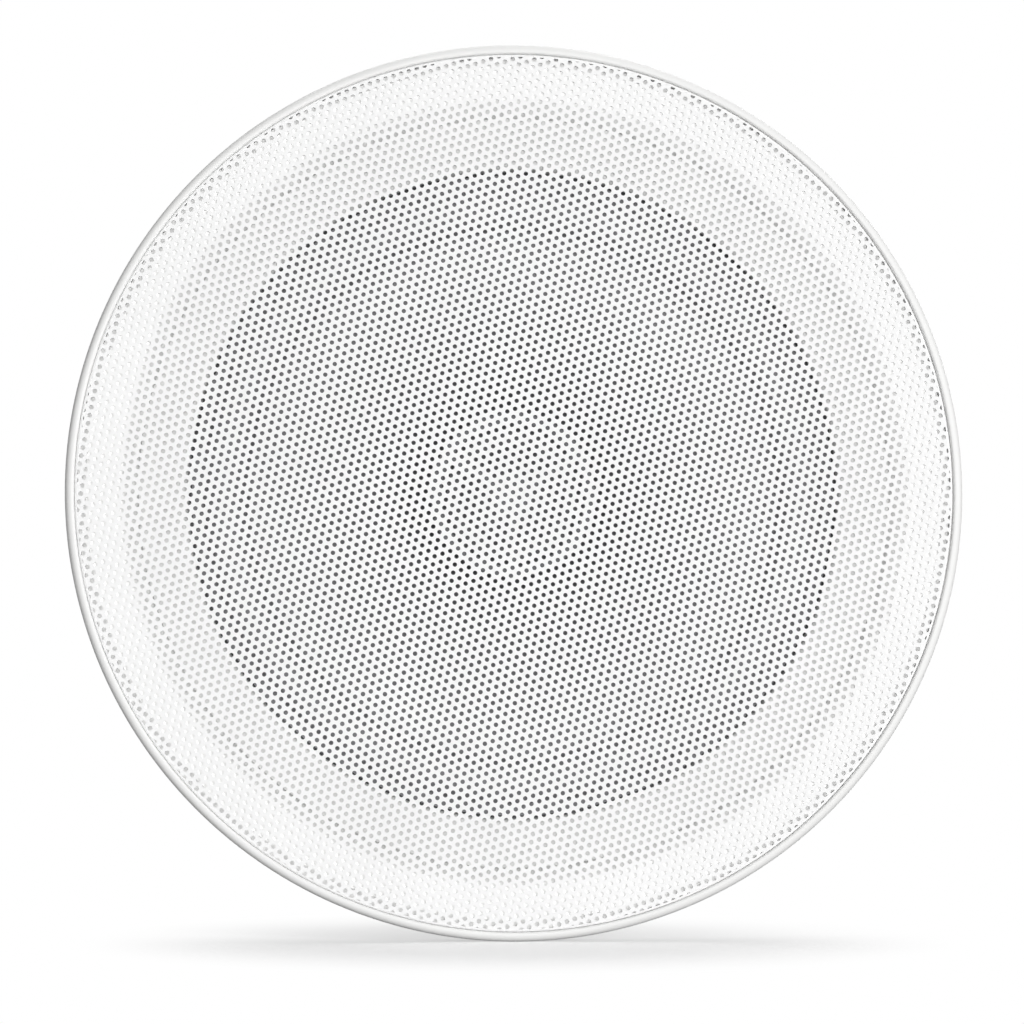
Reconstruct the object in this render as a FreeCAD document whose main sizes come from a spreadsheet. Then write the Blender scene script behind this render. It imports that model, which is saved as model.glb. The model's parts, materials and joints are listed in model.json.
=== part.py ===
"""Round flush-mount sauna speaker: perforated grille, moulded frame, coaxial driver and spring clamps.

Millimetres. The front faces -Y, +Z is up, and the origin is the centre of the flange's rear face,
where the frame meets the wall. A depth is a distance along +Y, so what stands proud of the wall is negative.
"""
import FreeCAD, Part
import math
import os

import Sketcher

DRIVING_SIZES = (
    # frame: rim, groove for the grille, baffle, driver seat and collar
    ("flange_margin", "3.5"),
    ("rim_height", "10.0"),
    ("rim_width", "2.2"),
    ("bead_round", "0.6"),
    ("rear_edge_break", "0.6"),
    ("groove_width", "2.7"),
    ("lip_width", "7.2"),
    ("flare_radius", "6.0"),
    ("flare_width", "4.6"),
    ("ledge_depth", "3.4"),
    ("ledge_drop", "0.6"),
    ("mouth_depth", "8.7"),
    ("mouth_round", "1.5"),
    ("aperture_inset", "5.7"),
    ("seat_depth", "4.5"),
    ("seat_clearance", "1.3"),
    ("collar_cover", "1.0"),
    ("collar_wall", "2.5"),
    ("collar_depth", "10.0"),
    ("collar_root_round", "1.0"),
    ("floor_depth", "1.0"),
    # wall seal, flush in a recess of the flange
    ("seal_inset", "4.0"),
    ("seal_width", "6.0"),
    ("seal_thickness", "1.5"),
    # grille: a perforated sheet with a short folded edge
    ("sheet_thickness", "0.5"),
    ("grille_recess", "0.6"),
    ("grille_gap", "0.25"),
    ("fold_depth", "2.6"),
    ("fold_radius", "1.0"),
    ("fold_clearance", "0.4"),
    ("hole_radius", "4.6"),
    ("hole_margin", "0.6"),
    ("lattice_angle", "18.75"),
    # driver seat and basket
    ("gasket_thickness", "1.0"),
    ("gasket_inset", "0.7"),
    ("basket_radius", "82.0"),
    ("basket_sheet", "1.2"),
    ("basket_flange_width", "9.5"),
    ("basket_wall_depth", "4.5"),
    ("shelf_width", "5.0"),
    ("shelf_depth", "25.5"),
    ("cup_radius", "41.0"),
    ("cup_depth", "9.0"),
    ("cup_foot_width", "11.0"),
    ("window_outer_margin", "3.5"),
    ("window_inner_margin", "4.0"),
    ("window_outer_width", "19.0"),
    ("window_inner_width", "13.0"),
    ("screw_inset", "2.8"),
    ("screw_radius", "1.5"),
    ("screw_depth", "5.0"),
    ("screw_head_radius", "2.6"),
    ("screw_head_height", "1.8"),
    ("thread_clearance", "0.05"),
    # surround, cone, spider and voice coil
    ("landing_width", "3.1"),
    ("surround_sheet", "0.8"),
    ("roll_radius", "5.4"),
    ("cone_lip_width", "2.6"),
    ("cone_sheet", "0.7"),
    ("cone_depth", "22.5"),
    ("cone_bow_radius", "75.0"),
    ("cone_neck_height", "2.0"),
    ("coil_radius", "13.0"),
    ("former_wall", "0.25"),
    ("former_length", "19.5"),
    ("winding_thickness", "0.5"),
    ("winding_length", "9.0"),
    ("winding_tail", "0.3"),
    ("glue_gap", "0.05"),
    ("spider_sheet", "0.6"),
    ("spider_wave_height", "1.6"),
    ("spider_landing", "4.0"),
    ("spider_collar", "1.2"),
    # magnet system
    ("magnet_gap", "0.45"),
    ("top_plate_radius", "42.0"),
    ("top_plate_thickness", "6.0"),
    ("magnet_radius", "45.0"),
    ("magnet_bore_radius", "25.0"),
    ("magnet_height", "15.0"),
    ("yoke_radius", "42.0"),
    ("yoke_thickness", "6.0"),
    ("post_radius", "5.0"),
    ("post_clearance", "0.05"),
    ("post_thread_length", "5.0"),
    ("nut_radius", "8.0"),
    ("nut_height", "4.0"),
    # tweeter on its post in the middle of the cone
    ("tweeter_depth", "17.6"),
    ("housing_radius", "19.5"),
    ("housing_side", "4.4"),
    ("housing_tail", "8.0"),
    ("housing_tail_inset", "8.5"),
    ("guard_ring_width", "2.5"),
    ("guard_thickness", "1.4"),
    ("guard_spoke_width", "1.8"),
    ("guard_cap_radius", "4.9"),
    ("horn_wall", "1.6"),
    ("horn_depth", "3.8"),
    ("dome_inset", "7.0"),
    ("dome_rise", "2.8"),
    ("dome_sheet", "0.6"),
    ("dome_flange", "3.0"),
    ("motor_margin", "0.7"),
    ("motor_cup_depth", "6.2"),
    ("motor_plate_thickness", "2.0"),
    ("motor_magnet_inset", "3.2"),
    ("motor_magnet_height", "3.0"),
    # crossover board on the back of the yoke
    ("board_width", "34.0"),
    ("board_height", "18.0"),
    ("board_thickness", "1.6"),
    ("board_offset", "13.0"),
    ("capacitor_width", "18.0"),
    ("capacitor_height", "8.0"),
    ("capacitor_depth", "10.0"),
    ("capacitor_round", "0.8"),
    ("tab_width", "6.3"),
    ("tab_thickness", "0.8"),
    ("tab_length", "9.0"),
    ("tab_spacing", "12.0"),
    ("board_margin", "2.5"),
    # spring clamps on the collar
    ("pivot_depth", "17.0"),
    ("ear_clearance", "0.5"),
    ("ear_radius", "3.5"),
    ("ear_thickness", "3.0"),
    ("ear_root", "1.0"),
    ("pin_radius", "1.5"),
    ("pin_clearance", "0.05"),
    ("pin_overhang", "0.6"),
    ("arm_width", "14.0"),
    ("arm_thickness", "3.6"),
    ("arm_length", "16.5"),
    ("arm_eye_radius", "3.2"),
    ("arm_side_gap", "0.4"),
    ("arm_lean_angle", "25.0"),
    ("fork_clearance", "0.8"),
    ("sleeve_wall", "1.4"),
    ("sleeve_length", "8.0"),
    ("sleeve_gap", "0.05"),
    ("spring_wire", "0.9"),
    ("spring_coil_radius", "3.0"),
    ("spring_leg", "8.0"),
    ("spring_gap", "0.35"),
)
WINDOW_COUNT = 12
SCREW_COUNT = 6
SPOKE_COUNT = 3
SPIDER_WAVES = 4
SPRING_TURNS = 4
LATTICE_SECTORS = 6
LATTICE_REACH = 5.32
CLAMP_NAMES = ("top", "right", "left")

AXIS_Y = FreeCAD.Vector(0, 1, 0)
AXIS_Z = FreeCAD.Vector(0, 0, 1)

doc = FreeCAD.newDocument("sauna_speaker")
sheet = doc.addObject("Spreadsheet::Sheet", "Sizes")
for row, (alias, text) in enumerate(DRIVING_SIZES, start=1):
    sheet.set(f"A{row}", alias)
    sheet.set(f"B{row}", text)
    sheet.setAlias(f"B{row}", alias)
doc.recompute()
pieces = []


class Size:
    """A length or angle: its value now, and the formula that binds it to the sheet."""

    def __init__(self, value, formula):
        self.value = value
        self.formula = formula

    def _join(self, other, sign, value):
        text = other.formula if isinstance(other, Size) else repr(other)
        return Size(value, f"({self.formula} {sign} {text})")

    def __add__(self, other):
        return self._join(other, "+", self.value + float(other))

    def __sub__(self, other):
        return self._join(other, "-", self.value - float(other))

    def __mul__(self, other):
        return self._join(other, "*", self.value * float(other))

    def __truediv__(self, other):
        return self._join(other, "/", self.value / float(other))

    def __neg__(self):
        return Size(-self.value, f"(-{self.formula})")

    def __float__(self):
        return self.value


def size(alias):
    """The driving size of that name."""
    return Size(float(sheet.get(alias)), f"Sizes.{alias}")


ZERO = Size(0.0, None)
LEFT, RIGHT = 1, -1


class Bend:
    """An arc from one corner to the next, with its centre to the left or right of the way between them."""

    def __init__(self, radius, side):
        self.radius = radius
        self.side = side

    def curve(self, start, end):
        """The arc's edge, and whether it runs from start to end (left) or back (right)."""
        half = (end - start) * 0.5
        reach = math.sqrt(max(self.radius.value**2 - half.Length**2, 0.0))
        across = FreeCAD.Vector(-half.y, half.x, 0).normalize()
        centre = start + half + across * (reach * self.side)
        ends = (start, end) if self.side == LEFT else (end, start)
        angles = [math.atan2(p.y - centre.y, p.x - centre.x) for p in ends]
        return Part.ArcOfCircle(Part.Circle(centre, AXIS_Z, self.radius.value), *angles)


def origin_plane(body, role):
    """One of the body's own origin planes or axes."""
    return next(f for f in body.Origin.OriginFeatures if f.Role == role)


def new_body(label):
    """An empty body that becomes a sub-part under that label."""
    body = doc.addObject("PartDesign::Body", label)
    body.Label = label
    pieces.append(body)
    return body


def new_sketch(body, role, name, lift=None, lean=None):
    """A sketch on an origin plane, lifted along the plane's normal and turned in it."""
    sketch = body.newObject("Sketcher::SketchObject", name)
    sketch.AttachmentSupport = [(origin_plane(body, role), "")]
    sketch.MapMode = "FlatFace"
    if lean is not None:
        sketch.AttachmentOffset = FreeCAD.Placement(FreeCAD.Vector(), FreeCAD.Rotation(AXIS_Z, lean.value))
        sketch.setExpression("AttachmentOffset.Rotation.Angle", lean.formula)
    if lift is not None:
        sketch.setExpression("AttachmentOffset.Base.z", lift.formula)
    return sketch


def bind(sketch, constraints):
    """Adds dimensions, each given with its size, and binds them to the sheet."""
    indices = sketch.addConstraint([constraint for constraint, _ in constraints])
    for index, (_, measure) in zip(indices, constraints):
        name = f"size_{index}"
        sketch.renameConstraint(index, name)
        sketch.setExpression(f"Constraints.{name}", measure.formula)


def place_point(edge, end, across, along):
    """The dimensions that hold a sketch point at two coordinates; a zero puts it on that axis."""
    fixed, measured = [], []
    for kind, axis, measure in (("DistanceX", -2, across), ("DistanceY", -1, along)):
        if measure.formula is None:
            fixed.append(Sketcher.Constraint("PointOnObject", edge, end, axis))
        else:
            measured.append((Sketcher.Constraint(kind, edge, end, measure.value), measure))
    return fixed, measured


def draw_outline(sketch, corners):
    """A closed outline through corners (across, along), or (across, along, bend) where an arc leads on."""
    points = [FreeCAD.Vector(float(c[0]), float(c[1]), 0) for c in corners]
    base = sketch.GeometryCount
    edges, ends = [], []
    for place, corner in enumerate(corners):
        start, end = points[place], points[(place + 1) % len(points)]
        bend = corner[2] if len(corner) == 3 else None
        edges.append(bend.curve(start, end) if bend else Part.LineSegment(start, end))
        ends.append((2, 1) if bend and bend.side == RIGHT else (1, 2))
    sketch.addGeometry(edges, False)
    fixed, measured = [], []
    for place, corner in enumerate(corners):
        after = (place + 1) % len(corners)
        leave, arrive = ends[place][1], ends[after][0]
        fixed.append(Sketcher.Constraint("Coincident", base + place, leave, base + after, arrive))
        on_axis, placed = place_point(base + place, ends[place][0], corner[0], corner[1])
        fixed += on_axis
        measured += placed
        if len(corner) == 3:
            radius = corner[2].radius
            measured.append((Sketcher.Constraint("Radius", base + place, radius.value), radius))
    sketch.addConstraint(fixed)
    bind(sketch, measured)
    return sketch


def draw_circle(sketch, across, along, radius):
    """A full circle about a point of the sketch."""
    centre = FreeCAD.Vector(float(across), float(along), 0)
    edge = sketch.addGeometry(Part.Circle(centre, AXIS_Z, radius.value), False)
    fixed, measured = place_point(edge, 3, across, along)
    sketch.addConstraint(fixed)
    bind(sketch, measured + [(Sketcher.Constraint("Radius", edge, radius.value), radius)])
    return sketch


def revolve(body, corners, name, axis="V_Axis"):
    """Turns an outline (radius, depth) about the speaker's axis, or about the sketch's other axis."""
    sketch = draw_outline(new_sketch(body, "XY_Plane", f"{name}_profile"), corners)
    feature = body.newObject("PartDesign::Revolution", name)
    feature.Profile = sketch
    feature.ReferenceAxis = (sketch, [axis])
    feature.Angle = 360
    doc.recompute()
    return feature


def turned(label, *outlines):
    """A turned sub-part: each outline is revolved about the speaker's axis."""
    body = new_body(label)
    for number, corners in enumerate(outlines, start=1):
        revolve(body, corners, f"{label}_turning_{number}")
    return body


def ring(inner, outer, front, back):
    """The outline of a plain ring or disc between two radii and two depths."""
    return [(inner, front), (outer, front), (outer, back), (inner, back)]


def pad(body, sketch, name, length, symmetric=False, backward=False):
    """Raises a sketch into a solid, both ways from its plane or to one side of it."""
    feature = body.newObject("PartDesign::Pad", name)
    feature.Profile = sketch
    feature.SideType = "Symmetric" if symmetric else "One side"
    feature.Reversed = backward
    feature.setExpression("Length", length.formula)
    doc.recompute()
    return feature


def pocket(body, sketch, name, length=None):
    """Cuts a sketch out of the solid: right through it both ways, or by a width about its plane."""
    before = body.Shape.Volume
    feature = body.newObject("PartDesign::Pocket", name)
    feature.Profile = sketch
    feature.SideType = "Symmetric"
    if length is None:
        feature.Type = "ThroughAll"
    else:
        feature.setExpression("Length", length.formula)
    doc.recompute()
    if not feature.Shape.Volume < before:
        raise RuntimeError(f"{name} cuts nothing")
    return feature


def repeat_round(body, features, name, count):
    """Repeats features evenly about the speaker's axis."""
    pattern = body.newObject("PartDesign::PolarPattern", name)
    pattern.Originals = features
    pattern.Axis = (origin_plane(body, "Y_Axis"), [""])
    pattern.Angle = 360
    pattern.Occurrences = count
    body.Tip = pattern
    doc.recompute()
    return pattern


# depths of the planes that several pieces share
crest = -size("rim_height")
grille_front = crest + size("grille_recess")
lip_top = grille_front + size("sheet_thickness")
fold_end = grille_front + size("fold_depth")
groove_floor = fold_end + size("fold_clearance")
mouth = lip_top + size("mouth_depth")
gasket_back = size("seat_depth") + size("gasket_thickness")
landing_front = gasket_back - size("surround_sheet")
flange_back = gasket_back + size("basket_sheet")
shelf = gasket_back + size("shelf_depth")
plate_front = shelf + size("cup_depth")
plate_back = plate_front + size("top_plate_thickness")
magnet_back = plate_back + size("magnet_height")
yoke_back = magnet_back + size("yoke_thickness")
guard_front = grille_front + size("tweeter_depth")
housing_front = guard_front + size("guard_thickness")
horn_floor = housing_front + size("horn_depth")
motor_floor = horn_floor + size("motor_cup_depth")
housing_back = housing_front + size("housing_side") + size("housing_tail")
board_back = yoke_back + size("board_thickness")

# radii that several pieces share, from the basket outwards to the rim
aperture_radius = size("basket_radius") - size("aperture_inset")
seat_radius = size("basket_radius") + size("seat_clearance")
screw_circle = size("basket_radius") - size("screw_inset")
pivot_radius = size("basket_radius") + size("ear_clearance") + size("ear_radius")
collar_radius = pivot_radius + size("ear_radius") + size("collar_cover")
seal_inner = collar_radius + size("seal_inset")
seal_outer = seal_inner + size("seal_width")
rim_radius = seal_outer + size("flange_margin")

# radii that several pieces share, from the rim and the basket inwards
groove_outer = rim_radius - size("rim_width")
groove_inner = groove_outer - size("groove_width")
lip_inner = groove_inner - size("lip_width")
ledge_radius = lip_inner - size("flare_width")
grille_radius = groove_outer - size("grille_gap")
basket_wall = size("basket_radius") - size("basket_flange_width")
shelf_radius = size("cup_radius") + size("shelf_width")
roll_centre = basket_wall + size("surround_sheet") / 2 - size("roll_radius")
cone_edge = roll_centre - size("roll_radius")
cone_lip = cone_edge - size("cone_lip_width")
dome_radius = size("housing_radius") - size("dome_inset")
motor_cup = dome_radius + size("motor_margin")
neck_radius = size("coil_radius") + size("glue_gap")
fork_width = size("arm_width") + size("arm_side_gap") * 2
boss_width = fork_width + size("ear_thickness") * 2


def make_front_frame():
    """Moulded frame: rounded rim, grille groove, flared baffle, driver seat, collar and clamp ears."""
    break_edge = size("rear_edge_break")
    rim_round = size("rim_width") - size("bead_round")
    collar_inner = collar_radius - size("collar_wall")
    collar_root = size("collar_root_round")
    ledge = lip_top + size("ledge_depth")
    body = turned("front_frame", [
        (rim_radius - break_edge, ZERO),
        (rim_radius, -break_edge),
        (rim_radius, crest + rim_round, Bend(rim_round, RIGHT)),
        (rim_radius - rim_round, crest, Bend(size("bead_round"), RIGHT)),
        (groove_outer, crest + size("bead_round")),
        (groove_outer, groove_floor),
        (groove_inner, groove_floor),
        (groove_inner, lip_top),
        (lip_inner, lip_top, Bend(size("flare_radius"), RIGHT)),
        (ledge_radius, ledge),
        (ledge_radius, ledge + size("ledge_drop")),
        (aperture_radius + size("mouth_round"), mouth, Bend(size("mouth_round"), RIGHT)),
        (aperture_radius, mouth + size("mouth_round")),
        (aperture_radius, size("seat_depth")),
        (seat_radius, size("seat_depth")),
        (seat_radius, size("floor_depth")),
        (collar_inner, size("floor_depth")),
        (collar_inner, size("collar_depth")),
        (collar_radius, size("collar_depth")),
        (collar_radius, collar_root, Bend(collar_root, LEFT)),
        (collar_radius + collar_root, ZERO),
        (seal_inner, ZERO),
        (seal_inner, -size("seal_thickness")),
        (seal_outer, -size("seal_thickness")),
        (seal_outer, ZERO),
    ])
    add_clamp_ears(body)
    holes = new_sketch(body, "XZ_Plane", "screw_hole_plan", lift=-size("seat_depth"))
    draw_circle(holes, ZERO, screw_circle, size("screw_radius") + size("thread_clearance"))
    hole = pocket(body, holes, "screw_hole", (size("screw_depth") - size("gasket_thickness")) * 2)
    repeat_round(body, [hole], "screw_holes", SCREW_COUNT)
    return body


def add_clamp_ears(body):
    """Three bosses inside the collar, each forked round its clamp arm and bored for the pin."""
    inner = pivot_radius - size("ear_radius")
    outer = pivot_radius + size("ear_radius")
    pivot_depth = size("pivot_depth")
    side = new_sketch(body, "YZ_Plane", "ear_side")
    draw_outline(side, [
        (-size("ear_root"), inner),
        (pivot_depth, inner, Bend(size("ear_radius"), LEFT)),
        (pivot_depth + size("ear_radius"), pivot_radius, Bend(size("ear_radius"), LEFT)),
        (pivot_depth, outer),
        (-size("ear_root"), outer),
    ])
    ears = pad(body, side, "ears", boss_width, symmetric=True)
    fork_floor = pivot_depth - size("arm_eye_radius") - size("fork_clearance")
    fork_end = pivot_depth + size("ear_radius") * 2
    gap = new_sketch(body, "YZ_Plane", "fork_side")
    draw_outline(gap, ring(fork_floor, fork_end, inner - size("ear_root"), outer + size("ear_root")))
    fork = pocket(body, gap, "fork", fork_width)
    bore = new_sketch(body, "YZ_Plane", "pin_bore_side")
    draw_circle(bore, pivot_depth, pivot_radius, size("pin_radius") + size("pin_clearance"))
    bored = pocket(body, bore, "pin_bore", boss_width)
    repeat_round(body, [ears, fork, bored], "clamp_ears", len(CLAMP_NAMES))


def make_grille():
    """Perforated steel sheet with its edge folded back into the frame's groove."""
    bend_inside = size("fold_radius") - size("sheet_thickness")
    skirt_inner = grille_radius - size("sheet_thickness")
    body = turned("grille", [
        (ZERO, grille_front),
        (grille_radius - size("fold_radius"), grille_front, Bend(size("fold_radius"), LEFT)),
        (grille_radius, grille_front + size("fold_radius")),
        (grille_radius, fold_end),
        (skirt_inner, fold_end),
        (skirt_inner, lip_top + bend_inside, Bend(bend_inside, RIGHT)),
        (skirt_inner - bend_inside, lip_top),
        (ZERO, lip_top),
    ])
    middle = new_sketch(body, "XZ_Plane", "middle_hole_plan")
    draw_circle(middle, ZERO, ZERO, size("hole_radius"))
    pocket(body, middle, "middle_hole")
    sector = new_sketch(body, "XZ_Plane", "hole_sector_plan", lean=size("lattice_angle"))
    pitch = (groove_inner - size("hole_radius") - size("hole_margin")) / LATTICE_REACH
    row_spacing = pitch * Size(math.sqrt(3) / 2, "(sqrt(3) / 2)")
    for steps, rows in lattice_sector():
        along = pitch * (steps + rows / 2)
        across = row_spacing * rows if rows else ZERO
        draw_circle(sector, along, across, size("hole_radius"))
    holes = pocket(body, sector, "hole_sector")
    repeat_round(body, [holes], "perforation", LATTICE_SECTORS)
    return body


def lattice_sector():
    """The hexagonal lattice's steps in one sixth of a turn, as far out as the sheet reaches in pitches."""
    limit = math.ceil(LATTICE_REACH)
    steps = [(i, j) for i in range(1, limit + 1) for j in range(limit + 1)]
    return [(i, j) for i, j in steps if math.sqrt(i * i + i * j + j * j) <= LATTICE_REACH]


def make_seals():
    """Foam ring between flange and wall, and the gasket between baffle and basket."""
    turned("wall_seal", ring(seal_inner, seal_outer, -size("seal_thickness"), ZERO))
    inner = aperture_radius + size("gasket_inset")
    body = turned("driver_gasket", ring(inner, size("basket_radius"), size("seat_depth"), gasket_back))
    drill_for_screws(body)


def drill_for_screws(body):
    """Clearance holes for the driver screws, right through the piece."""
    plan = new_sketch(body, "XZ_Plane", f"{body.Label}_screw_plan")
    draw_circle(plan, ZERO, screw_circle, size("screw_radius") + size("thread_clearance"))
    hole = pocket(body, plan, f"{body.Label}_screw_hole")
    repeat_round(body, [hole], f"{body.Label}_screw_holes", SCREW_COUNT)


def make_basket():
    """Pressed basket: flange, conical wall with windows, spider shelf and the cup on the top plate."""
    skin = size("basket_sheet")
    wall_outer = basket_wall + skin
    cup_outer = size("cup_radius") + skin
    cup_foot = size("cup_radius") - size("cup_foot_width")
    wall_end = gasket_back + size("basket_wall_depth")
    body = turned("basket", [
        (size("basket_radius"), gasket_back),
        (size("basket_radius"), flange_back),
        (wall_outer, flange_back),
        (wall_outer, wall_end + skin / 2),
        (shelf_radius + skin, shelf + skin),
        (cup_outer, shelf + skin),
        (cup_outer, plate_front),
        (cup_foot, plate_front),
        (cup_foot, plate_front - skin),
        (size("cup_radius"), plate_front - skin),
        (size("cup_radius"), shelf),
        (shelf_radius, shelf),
        (basket_wall, wall_end),
        (basket_wall, gasket_back),
    ])
    plan = new_sketch(body, "XZ_Plane", "window_plan")
    outer_half = size("window_outer_width") / 2
    inner_half = size("window_inner_width") / 2
    window_outer = basket_wall - size("window_outer_margin")
    window_inner = shelf_radius + size("window_inner_margin")
    draw_outline(plan, [
        (-inner_half, window_inner),
        (inner_half, window_inner),
        (outer_half, window_outer),
        (-outer_half, window_outer),
    ])
    window = pocket(body, plan, "window")
    repeat_round(body, [window], "windows", WINDOW_COUNT)
    drill_for_screws(body)


def make_driver_screws():
    """Pan-head screws that hold the basket to the frame from behind, as one group."""
    body = new_body("driver_screws")
    shank_plan = new_sketch(body, "XZ_Plane", "shank_plan", lift=-flange_back)
    draw_circle(shank_plan, ZERO, screw_circle, size("screw_radius"))
    shank = pad(body, shank_plan, "shank", size("screw_depth"))
    head_plan = new_sketch(body, "XZ_Plane", "head_plan", lift=-flange_back)
    draw_circle(head_plan, ZERO, screw_circle, size("screw_head_radius"))
    head = pad(body, head_plan, "head", size("screw_head_height"), backward=True)
    repeat_round(body, [shank, head], "screws", SCREW_COUNT)


def make_surround():
    """Rubber half roll between the basket's flange and the cone's lip."""
    skin = size("surround_sheet")
    outer_roll = size("roll_radius")
    inner_roll = outer_roll - skin
    landing = basket_wall + size("landing_width")
    turned("surround", [
        (landing, landing_front),
        (landing, gasket_back),
        (roll_centre + inner_roll, gasket_back),
        (roll_centre + inner_roll, landing_front, Bend(inner_roll, RIGHT)),
        (roll_centre, landing_front - inner_roll, Bend(inner_roll, RIGHT)),
        (roll_centre - inner_roll, landing_front),
        (roll_centre - inner_roll, gasket_back),
        (cone_lip, gasket_back),
        (cone_lip, landing_front),
        (cone_edge, landing_front, Bend(outer_roll, LEFT)),
        (roll_centre, landing_front - outer_roll, Bend(outer_roll, LEFT)),
        (roll_centre + outer_roll, landing_front),
    ])


def make_cone():
    """Flared cone: a flat lip under the surround, a bowed wall and a neck round the coil former."""
    skin = size("cone_sheet")
    bow = size("cone_bow_radius")
    neck_front = gasket_back + size("cone_depth")
    neck_outer = neck_radius + skin
    turned("cone", [
        (cone_edge, gasket_back),
        (cone_edge, gasket_back + skin),
        (cone_lip + skin / 2, gasket_back + skin, Bend(bow, RIGHT)),
        (neck_outer, neck_front + skin),
        (neck_outer, neck_front + size("cone_neck_height")),
        (neck_radius, neck_front + size("cone_neck_height")),
        (neck_radius, neck_front, Bend(bow, LEFT)),
        (cone_lip, gasket_back),
    ])


def make_voice_coil():
    """Coil former glued in the cone's neck, and the winding at its rear end in the magnet gap."""
    front = gasket_back + size("cone_depth")
    back = front + size("former_length")
    coil_radius = size("coil_radius")
    turned("coil_former", ring(coil_radius - size("former_wall"), coil_radius, front, back))
    winding_back = back - size("winding_tail")
    winding = (coil_radius + size("glue_gap"), coil_radius + size("winding_thickness"))
    turned("voice_coil", ring(*winding, winding_back - size("winding_length"), winding_back))


def make_spider():
    """Corrugated spider from the coil former to the basket's shelf."""
    skin = size("spider_sheet")
    landing = shelf_radius - size("landing_width") / 2
    waves_end = landing - size("spider_landing")
    waves_start = neck_radius + size("spider_collar")
    step = (waves_end - waves_start) / (2 * SPIDER_WAVES)
    front, back = [], []
    for number in range(2 * SPIDER_WAVES + 1):
        radius = waves_start + step * number if number else waves_start
        depth = shelf - skin - size("spider_wave_height") if number % 2 else shelf - skin
        front.append((radius, depth))
        back.append((radius, depth + skin))
    turned("spider", [
        (neck_radius, shelf - skin),
        *front,
        (landing, shelf - skin),
        (landing, shelf),
        *reversed(back),
        (neck_radius, shelf),
    ])


def make_magnet_system():
    """Top plate, ring magnet and the yoke with its bored pole."""
    coil_outer = size("coil_radius") + size("winding_thickness")
    pole_radius = size("coil_radius") - size("former_wall") - size("magnet_gap")
    bore = size("post_radius") + size("post_clearance")
    plate_bore = coil_outer + size("magnet_gap")
    turned("top_plate", ring(plate_bore, size("top_plate_radius"), plate_front, plate_back))
    turned("magnet", ring(size("magnet_bore_radius"), size("magnet_radius"), plate_back, magnet_back))
    turned("pole_yoke", [
        (bore, plate_front),
        (pole_radius, plate_front),
        (pole_radius, magnet_back),
        (size("yoke_radius"), magnet_back),
        (size("yoke_radius"), yoke_back),
        (bore, yoke_back),
    ])


def make_tweeter():
    """Tweeter on a post through the pole: housing, motor, dome and three-spoke guard."""
    housing_radius = size("housing_radius")
    horn_mouth = housing_radius - size("horn_wall")
    dome_seat = dome_radius + size("dome_flange")
    turned("tweeter_housing", [
        (housing_radius, housing_front),
        (housing_radius, housing_front + size("housing_side")),
        (housing_radius - size("housing_tail_inset"), housing_back),
        (ZERO, housing_back),
        (ZERO, motor_floor),
        (motor_cup, motor_floor),
        (motor_cup, horn_floor),
        (dome_seat, horn_floor),
        (horn_mouth, housing_front),
    ])
    post_back = yoke_back + size("post_thread_length")
    turned("tweeter_post", ring(ZERO, size("post_radius"), housing_back, post_back))
    motor_radius = motor_cup - size("glue_gap")
    motor_plate = motor_floor - size("motor_plate_thickness")
    turned("tweeter_yoke", ring(ZERO, motor_radius, motor_plate, motor_floor))
    magnet_front = motor_plate - size("motor_magnet_height")
    turned("tweeter_magnet", ring(ZERO, motor_cup - size("motor_magnet_inset"), magnet_front, motor_plate))
    make_dome(dome_seat)
    make_guard()


def make_dome(flange_radius):
    """Thin dome with a flat flange on the housing's ledge."""
    skin = size("dome_sheet")
    rise = size("dome_rise")
    bow = (dome_radius * dome_radius + rise * rise) / (rise * 2)
    flange_front = horn_floor - skin
    seat = flange_radius - size("glue_gap")
    turned("tweeter_dome", [
        (seat, flange_front),
        (seat, horn_floor),
        (dome_radius - skin, horn_floor, Bend(bow - skin, RIGHT)),
        (ZERO, flange_front - rise + skin),
        (ZERO, flange_front - rise, Bend(bow, LEFT)),
        (dome_radius, flange_front),
    ])


def make_guard():
    """Guard over the dome: an outer ring, a middle cap and three spokes between them."""
    ring_inner = size("housing_radius") - size("guard_ring_width")
    spoke_thickness = size("guard_thickness") / 2
    body = turned(
        "tweeter_guard",
        ring(ring_inner, size("housing_radius"), guard_front, housing_front),
        ring(ZERO, size("guard_cap_radius"), guard_front, guard_front + spoke_thickness),
    )
    half = size("guard_spoke_width") / 2
    plan = new_sketch(body, "XZ_Plane", "spoke_plan", lift=-guard_front)
    inner_end = -(ring_inner + size("guard_ring_width") / 2)
    draw_outline(plan, ring(-half, half, inner_end, -size("guard_cap_radius") / 2))
    spoke = pad(body, plan, "spoke", spoke_thickness, backward=True)
    repeat_round(body, [spoke], "spokes", SPOKE_COUNT)


def add_box(name, spans):
    """A block between named planes: spans gives (start, length) along X, Y and Z."""
    block = doc.addObject("Part::Box", name)
    for (start, length), side, axis in zip(spans, ("Length", "Width", "Height"), "xyz"):
        block.setExpression(side, length.formula)
        block.setExpression(f"Placement.Base.{axis}", start.formula)
    return block


def make_post_nut():
    """Hexagon nut that holds the tweeter post behind the yoke."""
    blank = doc.addObject("Part::Prism", "nut_blank")
    blank.Polygon = 6
    blank.setExpression("Circumradius", size("nut_radius").formula)
    blank.setExpression("Height", size("nut_height").formula)
    bore = doc.addObject("Part::Cylinder", "nut_bore")
    bore.setExpression("Radius", (size("post_radius") + size("post_clearance")).formula)
    bore.setExpression("Height", size("nut_height").formula)
    nut = doc.addObject("Part::Cut", "post_nut")
    nut.Base = blank
    nut.Tool = bore
    nut.Placement.Rotation = FreeCAD.Rotation(FreeCAD.Vector(1, 0, 0), -90)
    nut.setExpression("Placement.Base.y", yoke_back.formula)
    pieces.append(nut)


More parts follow.
